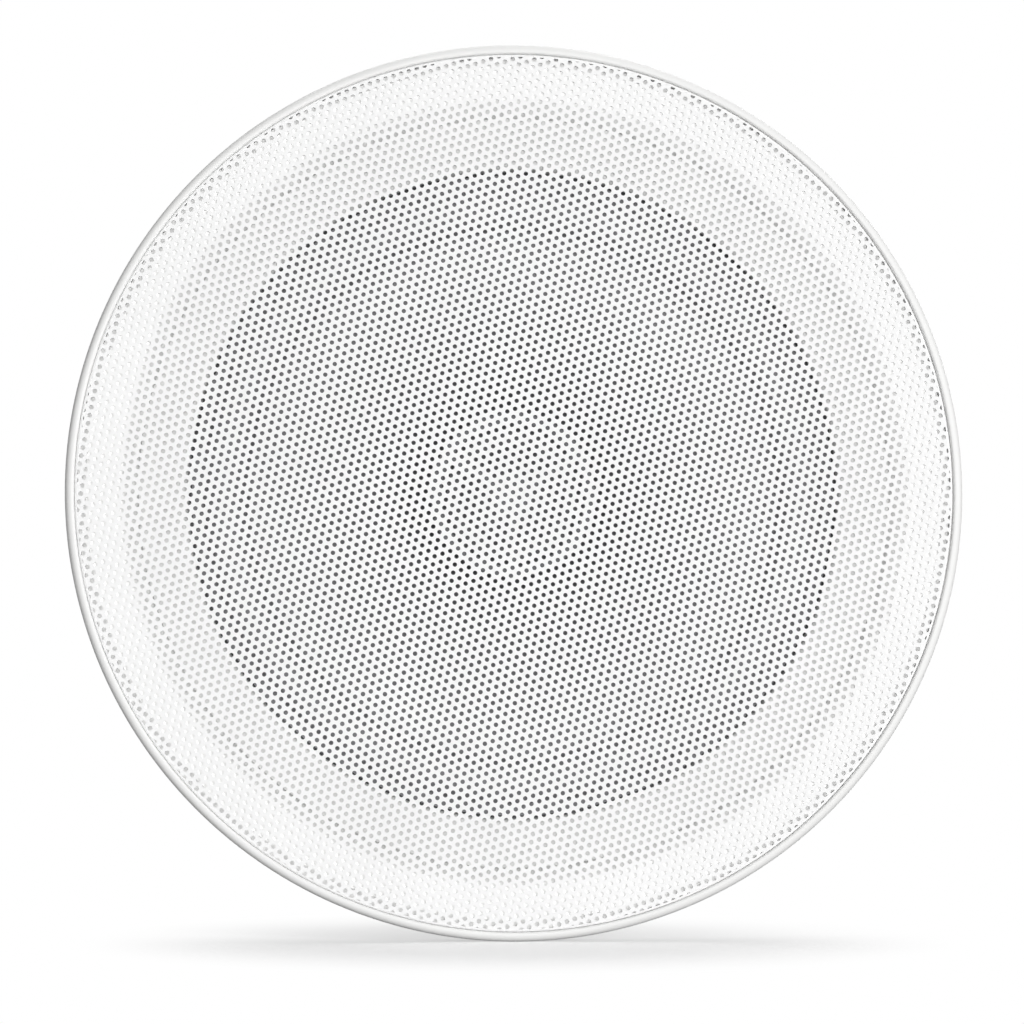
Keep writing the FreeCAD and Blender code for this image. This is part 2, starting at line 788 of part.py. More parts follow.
def make_crossover():
    """Small board on the back of the yoke with a box capacitor and two push-on tabs."""
    half_width = size("board_width") / 2
    top = -size("board_offset")
    bottom = top - size("board_height")
    board = add_box("crossover_board", [
        (-half_width, size("board_width")),
        (yoke_back, size("board_thickness")),
        (bottom, size("board_height")),
    ])
    body = add_box("capacitor_block", [
        (-size("capacitor_width") / 2, size("capacitor_width")),
        (board_back, size("capacitor_depth")),
        (top - size("board_margin") / 2 - size("capacitor_height"), size("capacitor_height")),
    ])
    doc.recompute()
    capacitor = doc.addObject("Part::Fillet", "crossover_capacitor")
    capacitor.Base = body
    radius = float(size("capacitor_round"))
    capacitor.Edges = [(number, radius, radius) for number, edge in enumerate(body.Shape.Edges, start=1)
                       if edge.CenterOfMass.y > float(board_back)]
    pieces.append(board)
    tabs = doc.addObject("Part::Compound", "terminal_tabs")
    tabs.Links = [add_tab(name, side, bottom) for name, side in (("tab_plus", 1), ("tab_minus", -1))]
    pieces.extend([capacitor, tabs])


def add_tab(name, side, board_bottom):
    """One flat push-on tab that stands on the board, to the left or right of its middle."""
    middle = size("tab_spacing") / 2 * side
    return add_box(name, [
        (middle - size("tab_width") / 2, size("tab_width")),
        (board_back, size("tab_length")),
        (board_bottom + size("board_margin"), size("tab_thickness")),
    ])


def at_pivot(body, angle):
    """Moves a clamp piece, drawn about its own pivot, to the pivot at that angle round the collar."""
    turn = math.radians(angle)
    body.Placement.Rotation = FreeCAD.Rotation(AXIS_Y, angle)
    body.setExpression("Placement.Base.x", (pivot_radius * math.sin(turn)).formula)
    body.setExpression("Placement.Base.y", size("pivot_depth").formula)
    body.setExpression("Placement.Base.z", (pivot_radius * math.cos(turn)).formula)


def arm_sketch(body, name):
    """A sketch in the clamp's side plane, with its first axis along the arm at rest."""
    upright = 90
    return new_sketch(body, "YZ_Plane", name, lean=size("arm_lean_angle") + upright)


def make_clamp_arm(name, angle):
    """Clamp arm: an eye on the pin, notched for the spring, and a flat bar that reaches over the wall."""
    body = new_body(f"clamp_arm_{name}")
    half = size("arm_thickness") / 2
    eye = draw_circle(arm_sketch(body, f"eye_side_{name}"), ZERO, ZERO, size("arm_eye_radius"))
    pad(body, eye, f"eye_{name}", size("arm_width"), symmetric=True)
    bar = draw_outline(arm_sketch(body, f"bar_side_{name}"), ring(ZERO, size("arm_length"), -half, half))
    pad(body, bar, f"bar_{name}", size("arm_width"), symmetric=True)
    bore_radius = size("pin_radius") + size("pin_clearance")
    bore = draw_circle(arm_sketch(body, f"bore_side_{name}"), ZERO, ZERO, bore_radius)
    pocket(body, bore, f"bore_{name}", size("arm_width"))
    reach = size("spring_coil_radius") + size("spring_gap") * 2
    back = size("arm_eye_radius") + size("spring_gap")
    notch = draw_outline(arm_sketch(body, f"notch_side_{name}"), ring(-back, reach, -back, back))
    pocket(body, notch, f"notch_{name}", spring_width() + size("spring_gap") * 2)
    at_pivot(body, angle)


def spring_width():
    """The closed coil's width along the pin."""
    return size("spring_wire") * SPRING_TURNS


def make_clamp_sleeve(name, angle):
    """Rubber sleeve pushed over the arm's tip."""
    body = new_body(f"clamp_sleeve_{name}")
    wall = size("sleeve_wall")
    gap = size("sleeve_gap")
    half = size("arm_thickness") / 2 + gap
    start = size("arm_length") - size("sleeve_length") + wall
    end = size("arm_length") + gap
    outside = half + wall
    skin = draw_outline(arm_sketch(body, f"skin_side_{name}"), ring(start, end + wall, -outside, outside))
    pad(body, skin, f"skin_{name}", size("arm_width") + (gap + wall) * 2, symmetric=True)
    hollow = draw_outline(arm_sketch(body, f"hollow_side_{name}"), ring(start, end, -half, half))
    pocket(body, hollow, f"hollow_{name}", size("arm_width") + gap * 2)
    at_pivot(body, angle)


def make_clamp_spring(name, angle):
    """Torsion spring round the pin: closed turns, a leg on the arm and a leg on the boss."""
    body = new_body(f"clamp_spring_{name}")
    wire = size("spring_wire")
    inner = size("spring_coil_radius") - wire
    half = spring_width() / 2
    ridges = []
    for turn in range(SPRING_TURNS):
        start = wire * turn - half if turn else -half
        ridges.append((start, inner + wire / 2))
        ridges.append((start + wire / 2, inner + wire))
    corners = [(-half, inner), *ridges, (half, inner + wire / 2), (half, inner)]
    revolve(body, corners, f"coil_{name}", axis="H_Axis")
    on_arm = ring(ZERO, size("spring_leg"), -(inner + wire), -inner)
    arm_leg = draw_outline(arm_sketch(body, f"arm_leg_side_{name}"), on_arm)
    pad(body, arm_leg, f"arm_leg_{name}", wire, symmetric=True)
    floor_gap = size("arm_eye_radius") + size("fork_clearance") - size("spring_gap")
    on_boss = ring(-floor_gap, ZERO, -(inner + wire), -inner)
    boss_leg = draw_outline(new_sketch(body, "YZ_Plane", f"boss_leg_side_{name}"), on_boss)
    pad(body, boss_leg, f"boss_leg_{name}", wire, symmetric=True)
    at_pivot(body, angle)


def make_clamp_pins():
    """Plain pins through the ears and the arms' eyes, as one group."""
    body = new_body("clamp_pins")
    side = new_sketch(body, "YZ_Plane", "pin_side")
    draw_circle(side, size("pivot_depth"), pivot_radius, size("pin_radius"))
    pin = pad(body, side, "pin", boss_width + size("pin_overhang") * 2, symmetric=True)
    repeat_round(body, [pin], "pins", len(CLAMP_NAMES))


def make_clamps():
    """Three spring clamps round the collar, and the pins that carry them."""
    for place, name in enumerate(CLAMP_NAMES):
        angle = 360 * place / len(CLAMP_NAMES)
        make_clamp_arm(name, angle)
        make_clamp_sleeve(name, angle)
        make_clamp_spring(name, angle)
    make_clamp_pins()


def write_parts():
    """Checks every object and each sub-part's solid, then writes one file per sub-part."""
    doc.recompute()
    failed = [o.Label for o in doc.Objects if {"Invalid", "Error"} & set(o.State)]
    failed += [p.Label for p in pieces if p.Shape.isNull() or not p.Shape.isValid()]
    if failed:
        raise RuntimeError(f"not built: {failed}")
    os.makedirs("parts", exist_ok=True)
    for piece in pieces:
        piece.Shape.exportStep(f"parts/{piece.Label}.step")
        print(piece.Label, len(piece.Shape.Solids), round(piece.Shape.Volume, 2))


make_front_frame()
make_grille()
make_seals()
make_basket()
make_driver_screws()
make_surround()
make_cone()
make_voice_coil()
make_spider()
make_magnet_system()
make_tweeter()
make_post_nut()
make_crossover()
make_clamps()
write_parts()
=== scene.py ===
"""Round flush-mount sauna speaker, dressed and lit for a studio picture.

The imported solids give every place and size. The pieces made here are the front frame with its clamp ears, the
finely perforated grille, the soft suspension of the cone, the clamp springs and the fixings, each worked out
as whole arrays and set where its solid is. Lengths in the classes are in millimetres unless they say
otherwise, with the front towards -Y and +Z up.
"""

import json
import logging
import math
from dataclasses import dataclass
from enum import Enum
from typing import Any

import bpy
import numpy as np
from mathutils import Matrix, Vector


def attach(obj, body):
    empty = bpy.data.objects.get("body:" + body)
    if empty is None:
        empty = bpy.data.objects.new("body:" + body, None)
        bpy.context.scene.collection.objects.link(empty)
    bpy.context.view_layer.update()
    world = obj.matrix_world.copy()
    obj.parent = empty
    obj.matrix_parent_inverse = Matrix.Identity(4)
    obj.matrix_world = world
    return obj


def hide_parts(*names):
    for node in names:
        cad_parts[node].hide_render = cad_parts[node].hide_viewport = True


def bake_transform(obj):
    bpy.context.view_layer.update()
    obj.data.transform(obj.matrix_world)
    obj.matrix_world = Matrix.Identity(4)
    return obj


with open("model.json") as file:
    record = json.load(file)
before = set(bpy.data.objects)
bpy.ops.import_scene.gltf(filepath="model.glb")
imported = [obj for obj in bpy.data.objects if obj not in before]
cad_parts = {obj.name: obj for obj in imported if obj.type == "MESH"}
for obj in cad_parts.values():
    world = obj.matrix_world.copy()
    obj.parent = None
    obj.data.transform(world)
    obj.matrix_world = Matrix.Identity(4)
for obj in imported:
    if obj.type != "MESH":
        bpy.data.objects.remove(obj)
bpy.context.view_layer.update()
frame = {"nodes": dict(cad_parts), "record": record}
MM = 0.001
TINY = 1e-9  # keeps a division from meeting zero
WELD = 1e4  # steps to the millimetre on which points that meet become one
SHARP = 42  # degrees between two faces from which their edge is shaded as sharp
PIVOT = (17.0, 86.0)  # depth and radius of the clamps' pins
LOG = logging.getLogger("sauna_speaker")


def linear(hex_colour: str) -> tuple[float, float, float, float]:
    """Turns an sRGB hex colour into linear values.

    Args:
        hex_colour: a hash sign and six hexadecimal digits.

    Returns:
        Linear red, green and blue with an alpha of one.
    """
    parts = np.array([int(hex_colour[k : k + 2], 16) for k in (1, 3, 5)]) / 255
    red, green, blue = np.where(parts <= 0.04045, parts / 12.92, ((parts + 0.055) / 1.055) ** 2.4)
    return (float(red), float(green), float(blue), 1.0)


WHITE = linear("#FFFFFF")


def add_node(
    tree: bpy.types.NodeTree, kind: str, settings: dict[str, Any], inputs: dict[Any, Any]
) -> bpy.types.Node:
    """Adds one node with its settings, input values and links.

    Args:
        tree: the node tree that gets the node.
        kind: the node's type name.
        settings: properties of the node by name.
        inputs: input sockets by name or number, each a value or the output socket that it is linked to.

    Returns:
        The new node.
    """
    node = tree.nodes.new(kind)
    for name, value in settings.items():
        setattr(node, name, value)
    for key, value in inputs.items():
        socket = node.inputs[key]
        if isinstance(value, bpy.types.NodeSocket):
            tree.links.new(value, socket)
        else:
            socket.default_value = value
    return node


def bare_tree(holder: bpy.types.Material | bpy.types.World) -> bpy.types.NodeTree:
    """Turns on a material's or world's nodes and empties their tree.

    Args:
        holder: the material or world.

    Returns:
        Its empty node tree.
    """
    holder.use_nodes = True
    holder.node_tree.nodes.clear()
    return holder.node_tree


def placed(name: str, data: bpy.types.ID) -> bpy.types.Object:
    """Makes an object from its data and puts it into the scene.

    Args:
        name: the object's name.
        data: a mesh, lamp or camera.

    Returns:
        The object, at the origin.
    """
    made = bpy.data.objects.new(name, data)
    bpy.context.scene.collection.objects.link(made)
    return made


class Clamp(Enum):
    """The spring clamps by place, each with its angle round the speaker from +Z towards +X, in degrees."""

    TOP = 0.0
    RIGHT = 120.0
    LEFT = 240.0


class Relief(Enum):
    """How a surface was made, which sets the fine pattern that it carries."""

    SPRAYED = "sprayed"
    MOULDED = "moulded"
    TURNED = "turned"
    WOVEN = "woven"
    WOUND = "wound"
    PRESSED = "pressed"


@dataclass(frozen=True)
class Finish:
    """One finish: what the material is, its colours and the fine relief that its making left.

    Attributes:
        name: the material and how its surface was made.
        colour: the main colour, sRGB.
        shade: the colour that the slow mottling goes to, sRGB.
        rough: the lowest and highest roughness on the surface.
        relief: the kind of pattern.
        grain: the pattern's spacing in millimetres.
        depth: the pattern's height in millimetres.
        metallic: one for bare metal.
        ior: refraction index, which a metal leaves at its default.
        coat: weight of a clear top layer.
        sheen: weight of the soft fuzz of cloth and rubber.
    """

    name: str
    colour: str
    shade: str
    rough: tuple[float, float]
    relief: Relief
    grain: float
    depth: float
    metallic: float = 0.0
    ior: float = 1.5
    coat: float = 0.0
    sheen: float = 0.0

    def pattern(self, tree: bpy.types.NodeTree, place: bpy.types.NodeSocket) -> bpy.types.NodeSocket:
        """Draws the fine relief as a height from 0 to 1.

        A noise has one grain per spacing. A wave's period is 2 pi over 20 times its scale, so the scale is
        2 pi over 20 times the spacing.

        Args:
            tree: the material's node tree.
            place: Object coordinates in metres.

        Returns:
            The socket that gives the height.
        """
        grains = 1 / (self.grain * MM)
        waves = math.tau / 20 * grains
        noise, wave = "ShaderNodeTexNoise", "ShaderNodeTexWave"
        match self.relief:
            case Relief.SPRAYED:
                return add_node(tree, noise, {}, {"Vector": place, "Scale": grains, "Detail": 1.5}).outputs[0]
            case Relief.MOULDED:
                return add_node(tree, noise, {}, {"Vector": place, "Scale": grains, "Detail": 5.0}).outputs[0]
            case Relief.PRESSED:
                # the rolling draws each grain out to ten times its width
                long = add_node(tree, "ShaderNodeMapping", {}, {"Vector": place, "Scale": (1.0, 0.1, 1.0)})
                return add_node(tree, noise, {}, {"Vector": long.outputs[0], "Scale": grains}).outputs[0]
            case Relief.TURNED:
                rings = {"wave_type": "RINGS", "rings_direction": "Y"}
                inputs = {"Vector": place, "Scale": waves, "Distortion": 1.5, "Detail": 3.0}
                return add_node(tree, wave, rings, inputs).outputs[1]
            case Relief.WOUND:
                bands = {"bands_direction": "Y"}
                return add_node(tree, wave, bands, {"Vector": place, "Scale": waves}).outputs[1]
        # woven: the higher of the weft's and the warp's threads
        threads = {"Vector": place, "Scale": waves, "Distortion": 0.6}
        weft, warp = (add_node(tree, wave, {"bands_direction": axis}, threads).outputs[1] for axis in "XZ")
        return add_node(tree, "ShaderNodeMath", {"operation": "MAXIMUM"}, {0: weft, 1: warp}).outputs[0]

    def material(self) -> bpy.types.Material:
        """Builds the node material: mottled colour, uneven roughness and the fine relief as a bump.

        The mottling is a noise with patches of about 22 mm. Most of its values lie between 0.3 and 0.7, which
        are spread over the range of the roughness.

        Returns:
            The material.
        """
        made = bpy.data.materials.new(self.name)
        tree = bare_tree(made)
        place = add_node(tree, "ShaderNodeTexCoord", {}, {}).outputs["Object"]
        height = self.pattern(tree, place)
        patches = {"Vector": place, "Scale": 45.0, "Detail": 4.0}
        cloud = add_node(tree, "ShaderNodeTexNoise", {}, patches).outputs[0]
        share = add_node(tree, "ShaderNodeMath", {"operation": "MULTIPLY"}, {0: cloud, 1: height}).outputs[0]
        mixed = {0: share, 6: linear(self.colour), 7: linear(self.shade)}
        colour = add_node(tree, "ShaderNodeMix", {"data_type": "RGBA"}, mixed).outputs[2]
        low, high = self.rough
        spread = {"Value": cloud, "From Min": 0.3, "From Max": 0.7, "To Min": low, "To Max": high}
        rough = add_node(tree, "ShaderNodeMapRange", {}, spread).outputs[0]
        raised = {"Height": height, "Distance": self.depth * MM, "Strength": 1.0}
        bump = add_node(tree, "ShaderNodeBump", {}, raised).outputs[0]
        values = {
            "Base Color": colour, "Roughness": rough, "Normal": bump, "Metallic": self.metallic,
            "Coat Weight": self.coat, "Sheen Weight": self.sheen, "IOR": self.ior,
        }
        shader = add_node(tree, "ShaderNodeBsdfPrincipled", {}, values).outputs[0]
        add_node(tree, "ShaderNodeOutputMaterial", {}, {"Surface": shader})
        return made


FINISHES: dict[str, Finish] = {
    # ABS moulded in a spark-eroded tool: an even white with a faint grain and a soft, wide highlight
    "frame_plastic": Finish(
        "white_moulded_abs", "#F3F3F2", "#ECECEB", (0.56, 0.64), Relief.MOULDED, 0.5, 0.004
    ),
    # matt polyester powder baked on steel sheet: white with a slight orange peel and hardly any shine
    "grille_steel": Finish(
        "white_powder_coat", "#F6F6F6", "#F1F1F1", (0.6, 0.68), Relief.SPRAYED, 0.9, 0.006
    ),
    # closed-cell foam: dull black with open pores on the cut face
    "seal_foam": Finish(
        "black_cell_foam", "#1B1B1C", "#2A2A2B", (0.85, 0.95), Relief.MOULDED, 0.7, 0.12, sheen=0.2
    ),
    # steel pressing, black powder coat: dark satin with orange peel
    "basket_steel": Finish(
        "black_powder_coat", "#1D1D1F", "#28282A", (0.4, 0.55), Relief.SPRAYED, 1.1, 0.02
    ),
    # zinc plated steel: bright, cool metal with fine cloudy passivation
    "zinc_steel": Finish(
        "zinc_plated_steel", "#C9CBCD", "#A9ADB2", (0.24, 0.4), Relief.MOULDED, 0.6, 0.003, 1.0
    ),
    # filled butyl rubber: grey and dull, with a soft bloom at grazing angles
    "surround_rubber": Finish(
        "grey_butyl_rubber", "#838385", "#8B8B8E", (0.55, 0.7), Relief.MOULDED, 0.8, 0.01, sheen=0.2
    ),
    # polypropylene filled with mineral: grey, with faint rings and a satin skin from the tool
    "cone_plastic": Finish(
        "grey_filled_polypropylene", "#767678", "#808082", (0.42, 0.54), Relief.TURNED, 1.6, 0.01
    ),
    # bare aluminium foil: bright and slightly crumpled
    "former_foil": Finish(
        "aluminium_foil", "#D4D5D6", "#BFC0C2", (0.25, 0.4), Relief.MOULDED, 1.2, 0.01, 1.0
    ),
    # enamelled copper wire: turns side by side under a clear varnish
    "coil_wire": Finish(
        "enamelled_copper_wire", "#C9783F", "#A85C2C", (0.3, 0.4), Relief.WOUND, 0.28, 0.08, 1.0, coat=0.4
    ),
    # resin-dipped cotton cloth: tan threads, drawn coarser than real ones so that the check shows
    "spider_cloth": Finish(
        "resin_dipped_cloth", "#B08A4E", "#8F6C38", (0.75, 0.9), Relief.WOVEN, 0.9, 0.1, sheen=0.3
    ),
    # machined mild steel, zinc passivated: fine turning rings
    "motor_steel": Finish(
        "turned_mild_steel", "#A8ABAF", "#8D9196", (0.3, 0.44), Relief.TURNED, 0.9, 0.004, 1.0
    ),
    # ground ferrite: near-black ceramic with a faint sparkle and pits
    "magnet_ferrite": Finish(
        "ground_ferrite", "#262629", "#343438", (0.45, 0.65), Relief.MOULDED, 0.8, 0.03
    ),
    # ABS from a polished tool: a grey that reads dark behind the white sheet, smooth with a clear highlight
    "housing_plastic": Finish(
        "dark_polished_abs", "#767678", "#7E7E80", (0.3, 0.4), Relief.MOULDED, 0.9, 0.003
    ),
    # lacquered polyester film: grey, smooth and only softly shiny
    "dome_film": Finish(
        "lacquered_film", "#6C6C6E", "#646466", (0.46, 0.56), Relief.MOULDED, 2.0, 0.01
    ),
    # grey ABS: satin
    "guard_plastic": Finish(
        "grey_moulded_abs", "#67686B", "#5F6063", (0.38, 0.48), Relief.MOULDED, 0.6, 0.004
    ),
    # paper laminate: brown with a faint long grain
    "board_laminate": Finish(
        "phenolic_laminate", "#8A6233", "#74502A", (0.45, 0.6), Relief.PRESSED, 1.2, 0.01
    ),
    # moulded polyester case: brick red with a fine texture
    "capacitor_case": Finish(
        "red_moulded_case", "#9C2F26", "#8A271F", (0.35, 0.5), Relief.MOULDED, 0.5, 0.01
    ),
    # tinned brass strip: pale and rolled
    "tab_brass": Finish(
        "tinned_brass", "#CDC3A0", "#B7A878", (0.25, 0.38), Relief.PRESSED, 0.7, 0.004, 1.0
    ),
    # glass-filled nylon: black with a slightly fibrous skin
    "clamp_plastic": Finish(
        "black_filled_nylon", "#222224", "#2C2C2F", (0.45, 0.62), Relief.MOULDED, 0.7, 0.02
    ),
    # soft rubber: black and dull
    "clamp_rubber": Finish(
        "black_soft_rubber", "#1E1E1F", "#272728", (0.7, 0.85), Relief.MOULDED, 0.5, 0.02, sheen=0.3
    ),
}


@dataclass
class Surface:
    """A mesh as arrays.

    Attributes:
        points: rows of x, y and z.
        faces: rows of four corner numbers, two of which may be the same point.
    """

    points: np.ndarray
    faces: np.ndarray

    def merged(self) -> "Surface":
        """Makes points in the same place one point, so that seams and poles are closed.

        Returns:
            The surface with each point once.
        """
        keys = np.round(self.points * WELD).astype(np.int64)
        _, first, place = np.unique(keys, axis=0, return_index=True, return_inverse=True)
        return Surface(self.points[first], place.reshape(-1)[self.faces])

    def outward(self) -> "Surface":
        """Turns the faces over if the volume that they enclose, the sum of their corner cones, is negative.

        Returns:
            The surface with its faces outwards.
        """
        a, b, c, d = (self.points[self.faces[:, k]] for k in range(4))
        cones = np.einsum("ij,ij->i", a, np.cross(b, c) + np.cross(c, d))
        return self if cones.sum() > 0 else Surface(self.points, self.faces[:, ::-1])

    def turned(self, angle: float) -> "Surface":
        """Turns the points round the speaker's axis, from +Z towards +X, by an angle in degrees."""
        cosine, sine = math.cos(math.radians(angle)), math.sin(math.radians(angle))
        return Surface(self.points @ np.array([[cosine, 0, -sine], [0, 1, 0], [sine, 0, cosine]]), self.faces)

    def moved(self, x: float, y: float, z: float) -> "Surface":
        """Shifts every point."""
        return Surface(self.points + np.array([x, y, z]), self.faces)

    def mesh(self, name: str) -> bpy.types.Mesh:
        """Writes the arrays into a mesh in metres, smooth but for its sharp edges.

        Args:
            name: the mesh's name.

        Returns:
            The mesh.
        """
        kept = self.faces != np.roll(self.faces, -1, axis=1)
        whole = kept.sum(axis=1) >= 3
        corners = self.faces[whole][kept[whole]]
        counts = kept[whole].sum(axis=1)
        made = bpy.data.meshes.new(name)
        made.vertices.add(len(self.points))
        made.vertices.foreach_set("co", (self.points * MM).astype(np.float32).ravel())
        made.loops.add(len(corners))
        made.loops.foreach_set("vertex_index", corners.astype(np.int32))
        made.polygons.add(len(counts))
        made.polygons.foreach_set("loop_start", (np.cumsum(counts) - counts).astype(np.int32))
        made.update(calc_edges=True)
        made.validate()
        made.shade_smooth()
        made.set_sharp_from_angle(angle=math.radians(SHARP))
        return made


def gathered(surfaces: list[Surface]) -> Surface:
    """Puts surfaces one after another into one, each face's numbers raised by the points before its own.

    Args:
        surfaces: the surfaces in order.

    Returns:
        Them all as one surface.
    """
    sizes = [len(surface.points) for surface in surfaces]
    before = np.cumsum(sizes) - sizes
    faces = [surface.faces + start for surface, start in zip(surfaces, before)]
    return Surface(np.concatenate([surface.points for surface in surfaces]), np.concatenate(faces))


def grid_faces(rows: int, columns: int, round_rows: bool, round_columns: bool) -> np.ndarray:
    """Numbers the corners of a grid's faces, row by row.

    Args:
        rows: points in the first direction.
        columns: points in the second direction.
        round_rows: whether the last row joins the first.
        round_columns: whether the last column joins the first.

    Returns:
        One row of four corner numbers per face.
    """
    row, column = np.meshgrid(
        np.arange(rows if round_rows else rows - 1),
        np.arange(columns if round_columns else columns - 1),
        indexing="ij",
    )
    below, beside = (row + 1) % rows, (column + 1) % columns
    corners = [
        row * columns + column, row * columns + beside, below * columns + beside, below * columns + column,
    ]
    return np.stack(corners, axis=-1).reshape(-1, 4)


def even_turns(steps: int) -> np.ndarray:
    """Angles of equal steps round a full turn, as a column."""
    return np.arange(steps)[:, None] * math.tau / steps


def lathe(turn: np.ndarray, radius: np.ndarray, depth: np.ndarray) -> Surface:
    """Carries a closed profile round the speaker's axis: x = r sin a, y = depth, z = r cos a.

    Args:
        turn: a column of angles.
        radius: the profile's radii in order round its outline, one row, or one row per angle.
        depth: its depths, laid out as the radii are.

    Returns:
        The closed surface.
    """
    points = np.stack(np.broadcast_arrays(radius * np.sin(turn), depth, radius * np.cos(turn)), axis=-1)
    faces = grid_faces(points.shape[0], points.shape[1], True, True)
    return Surface(points.reshape(-1, 3), faces).merged().outward()


def arc(
    middle: tuple[float, float], radius: float, start: float, end: float, steps: int
) -> np.ndarray:
    """Points along an arc of a profile: the middle plus the arc's radius times cosine and sine.

    Args:
        middle: radius and depth of the arc's middle.
        radius: the arc's own radius.
        start: its first angle, in degrees.
        end: its last angle, in degrees.
        steps: number of points.

    Returns:
        Rows of radius and depth.
    """
    angle = np.radians(np.linspace(start, end, steps))
    return np.array(middle) + radius * np.stack([np.cos(angle), np.sin(angle)], axis=-1)


class Wardrobe:
    """Keeps one material per finish and dresses pieces by the record's slots."""

    def __init__(self) -> None:
        """Makes every finish's material once."""
        self.materials = {slot: finish.material() for slot, finish in FINISHES.items()}

    def dress_solids(self, nodes: dict[str, bpy.types.Object], subparts: list[dict[str, str]]) -> None:
        """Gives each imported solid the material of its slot.

        Args:
            nodes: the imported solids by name.
            subparts: the record's rows of node and slot.
        """
        for row in subparts:
            data = nodes[row["node"]].data
            data.materials.clear()
            data.materials.append(self.materials[row["material_slot"]])
            LOG.info("%s: solid in %s", row["node"], row["material_slot"])

    def piece(self, name: str, surface: Surface, slot: str, stands_for: str) -> bpy.types.Object:
        """Makes a piece from a surface, in its finish, in place of a solid.

        Args:
            name: the piece's name.
            surface: its shape in millimetres.
            slot: the record's slot for its finish.
            stands_for: the solid that it replaces.

        Returns:
            The piece's object, which has yet to ride on a body.
        """
        made = placed(name, surface.mesh(name))
        made.data.materials.append(self.materials[slot])
        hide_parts(stands_for)
        LOG.info("%s: %d faces in %s", name, len(made.data.polygons), slot)
        return made


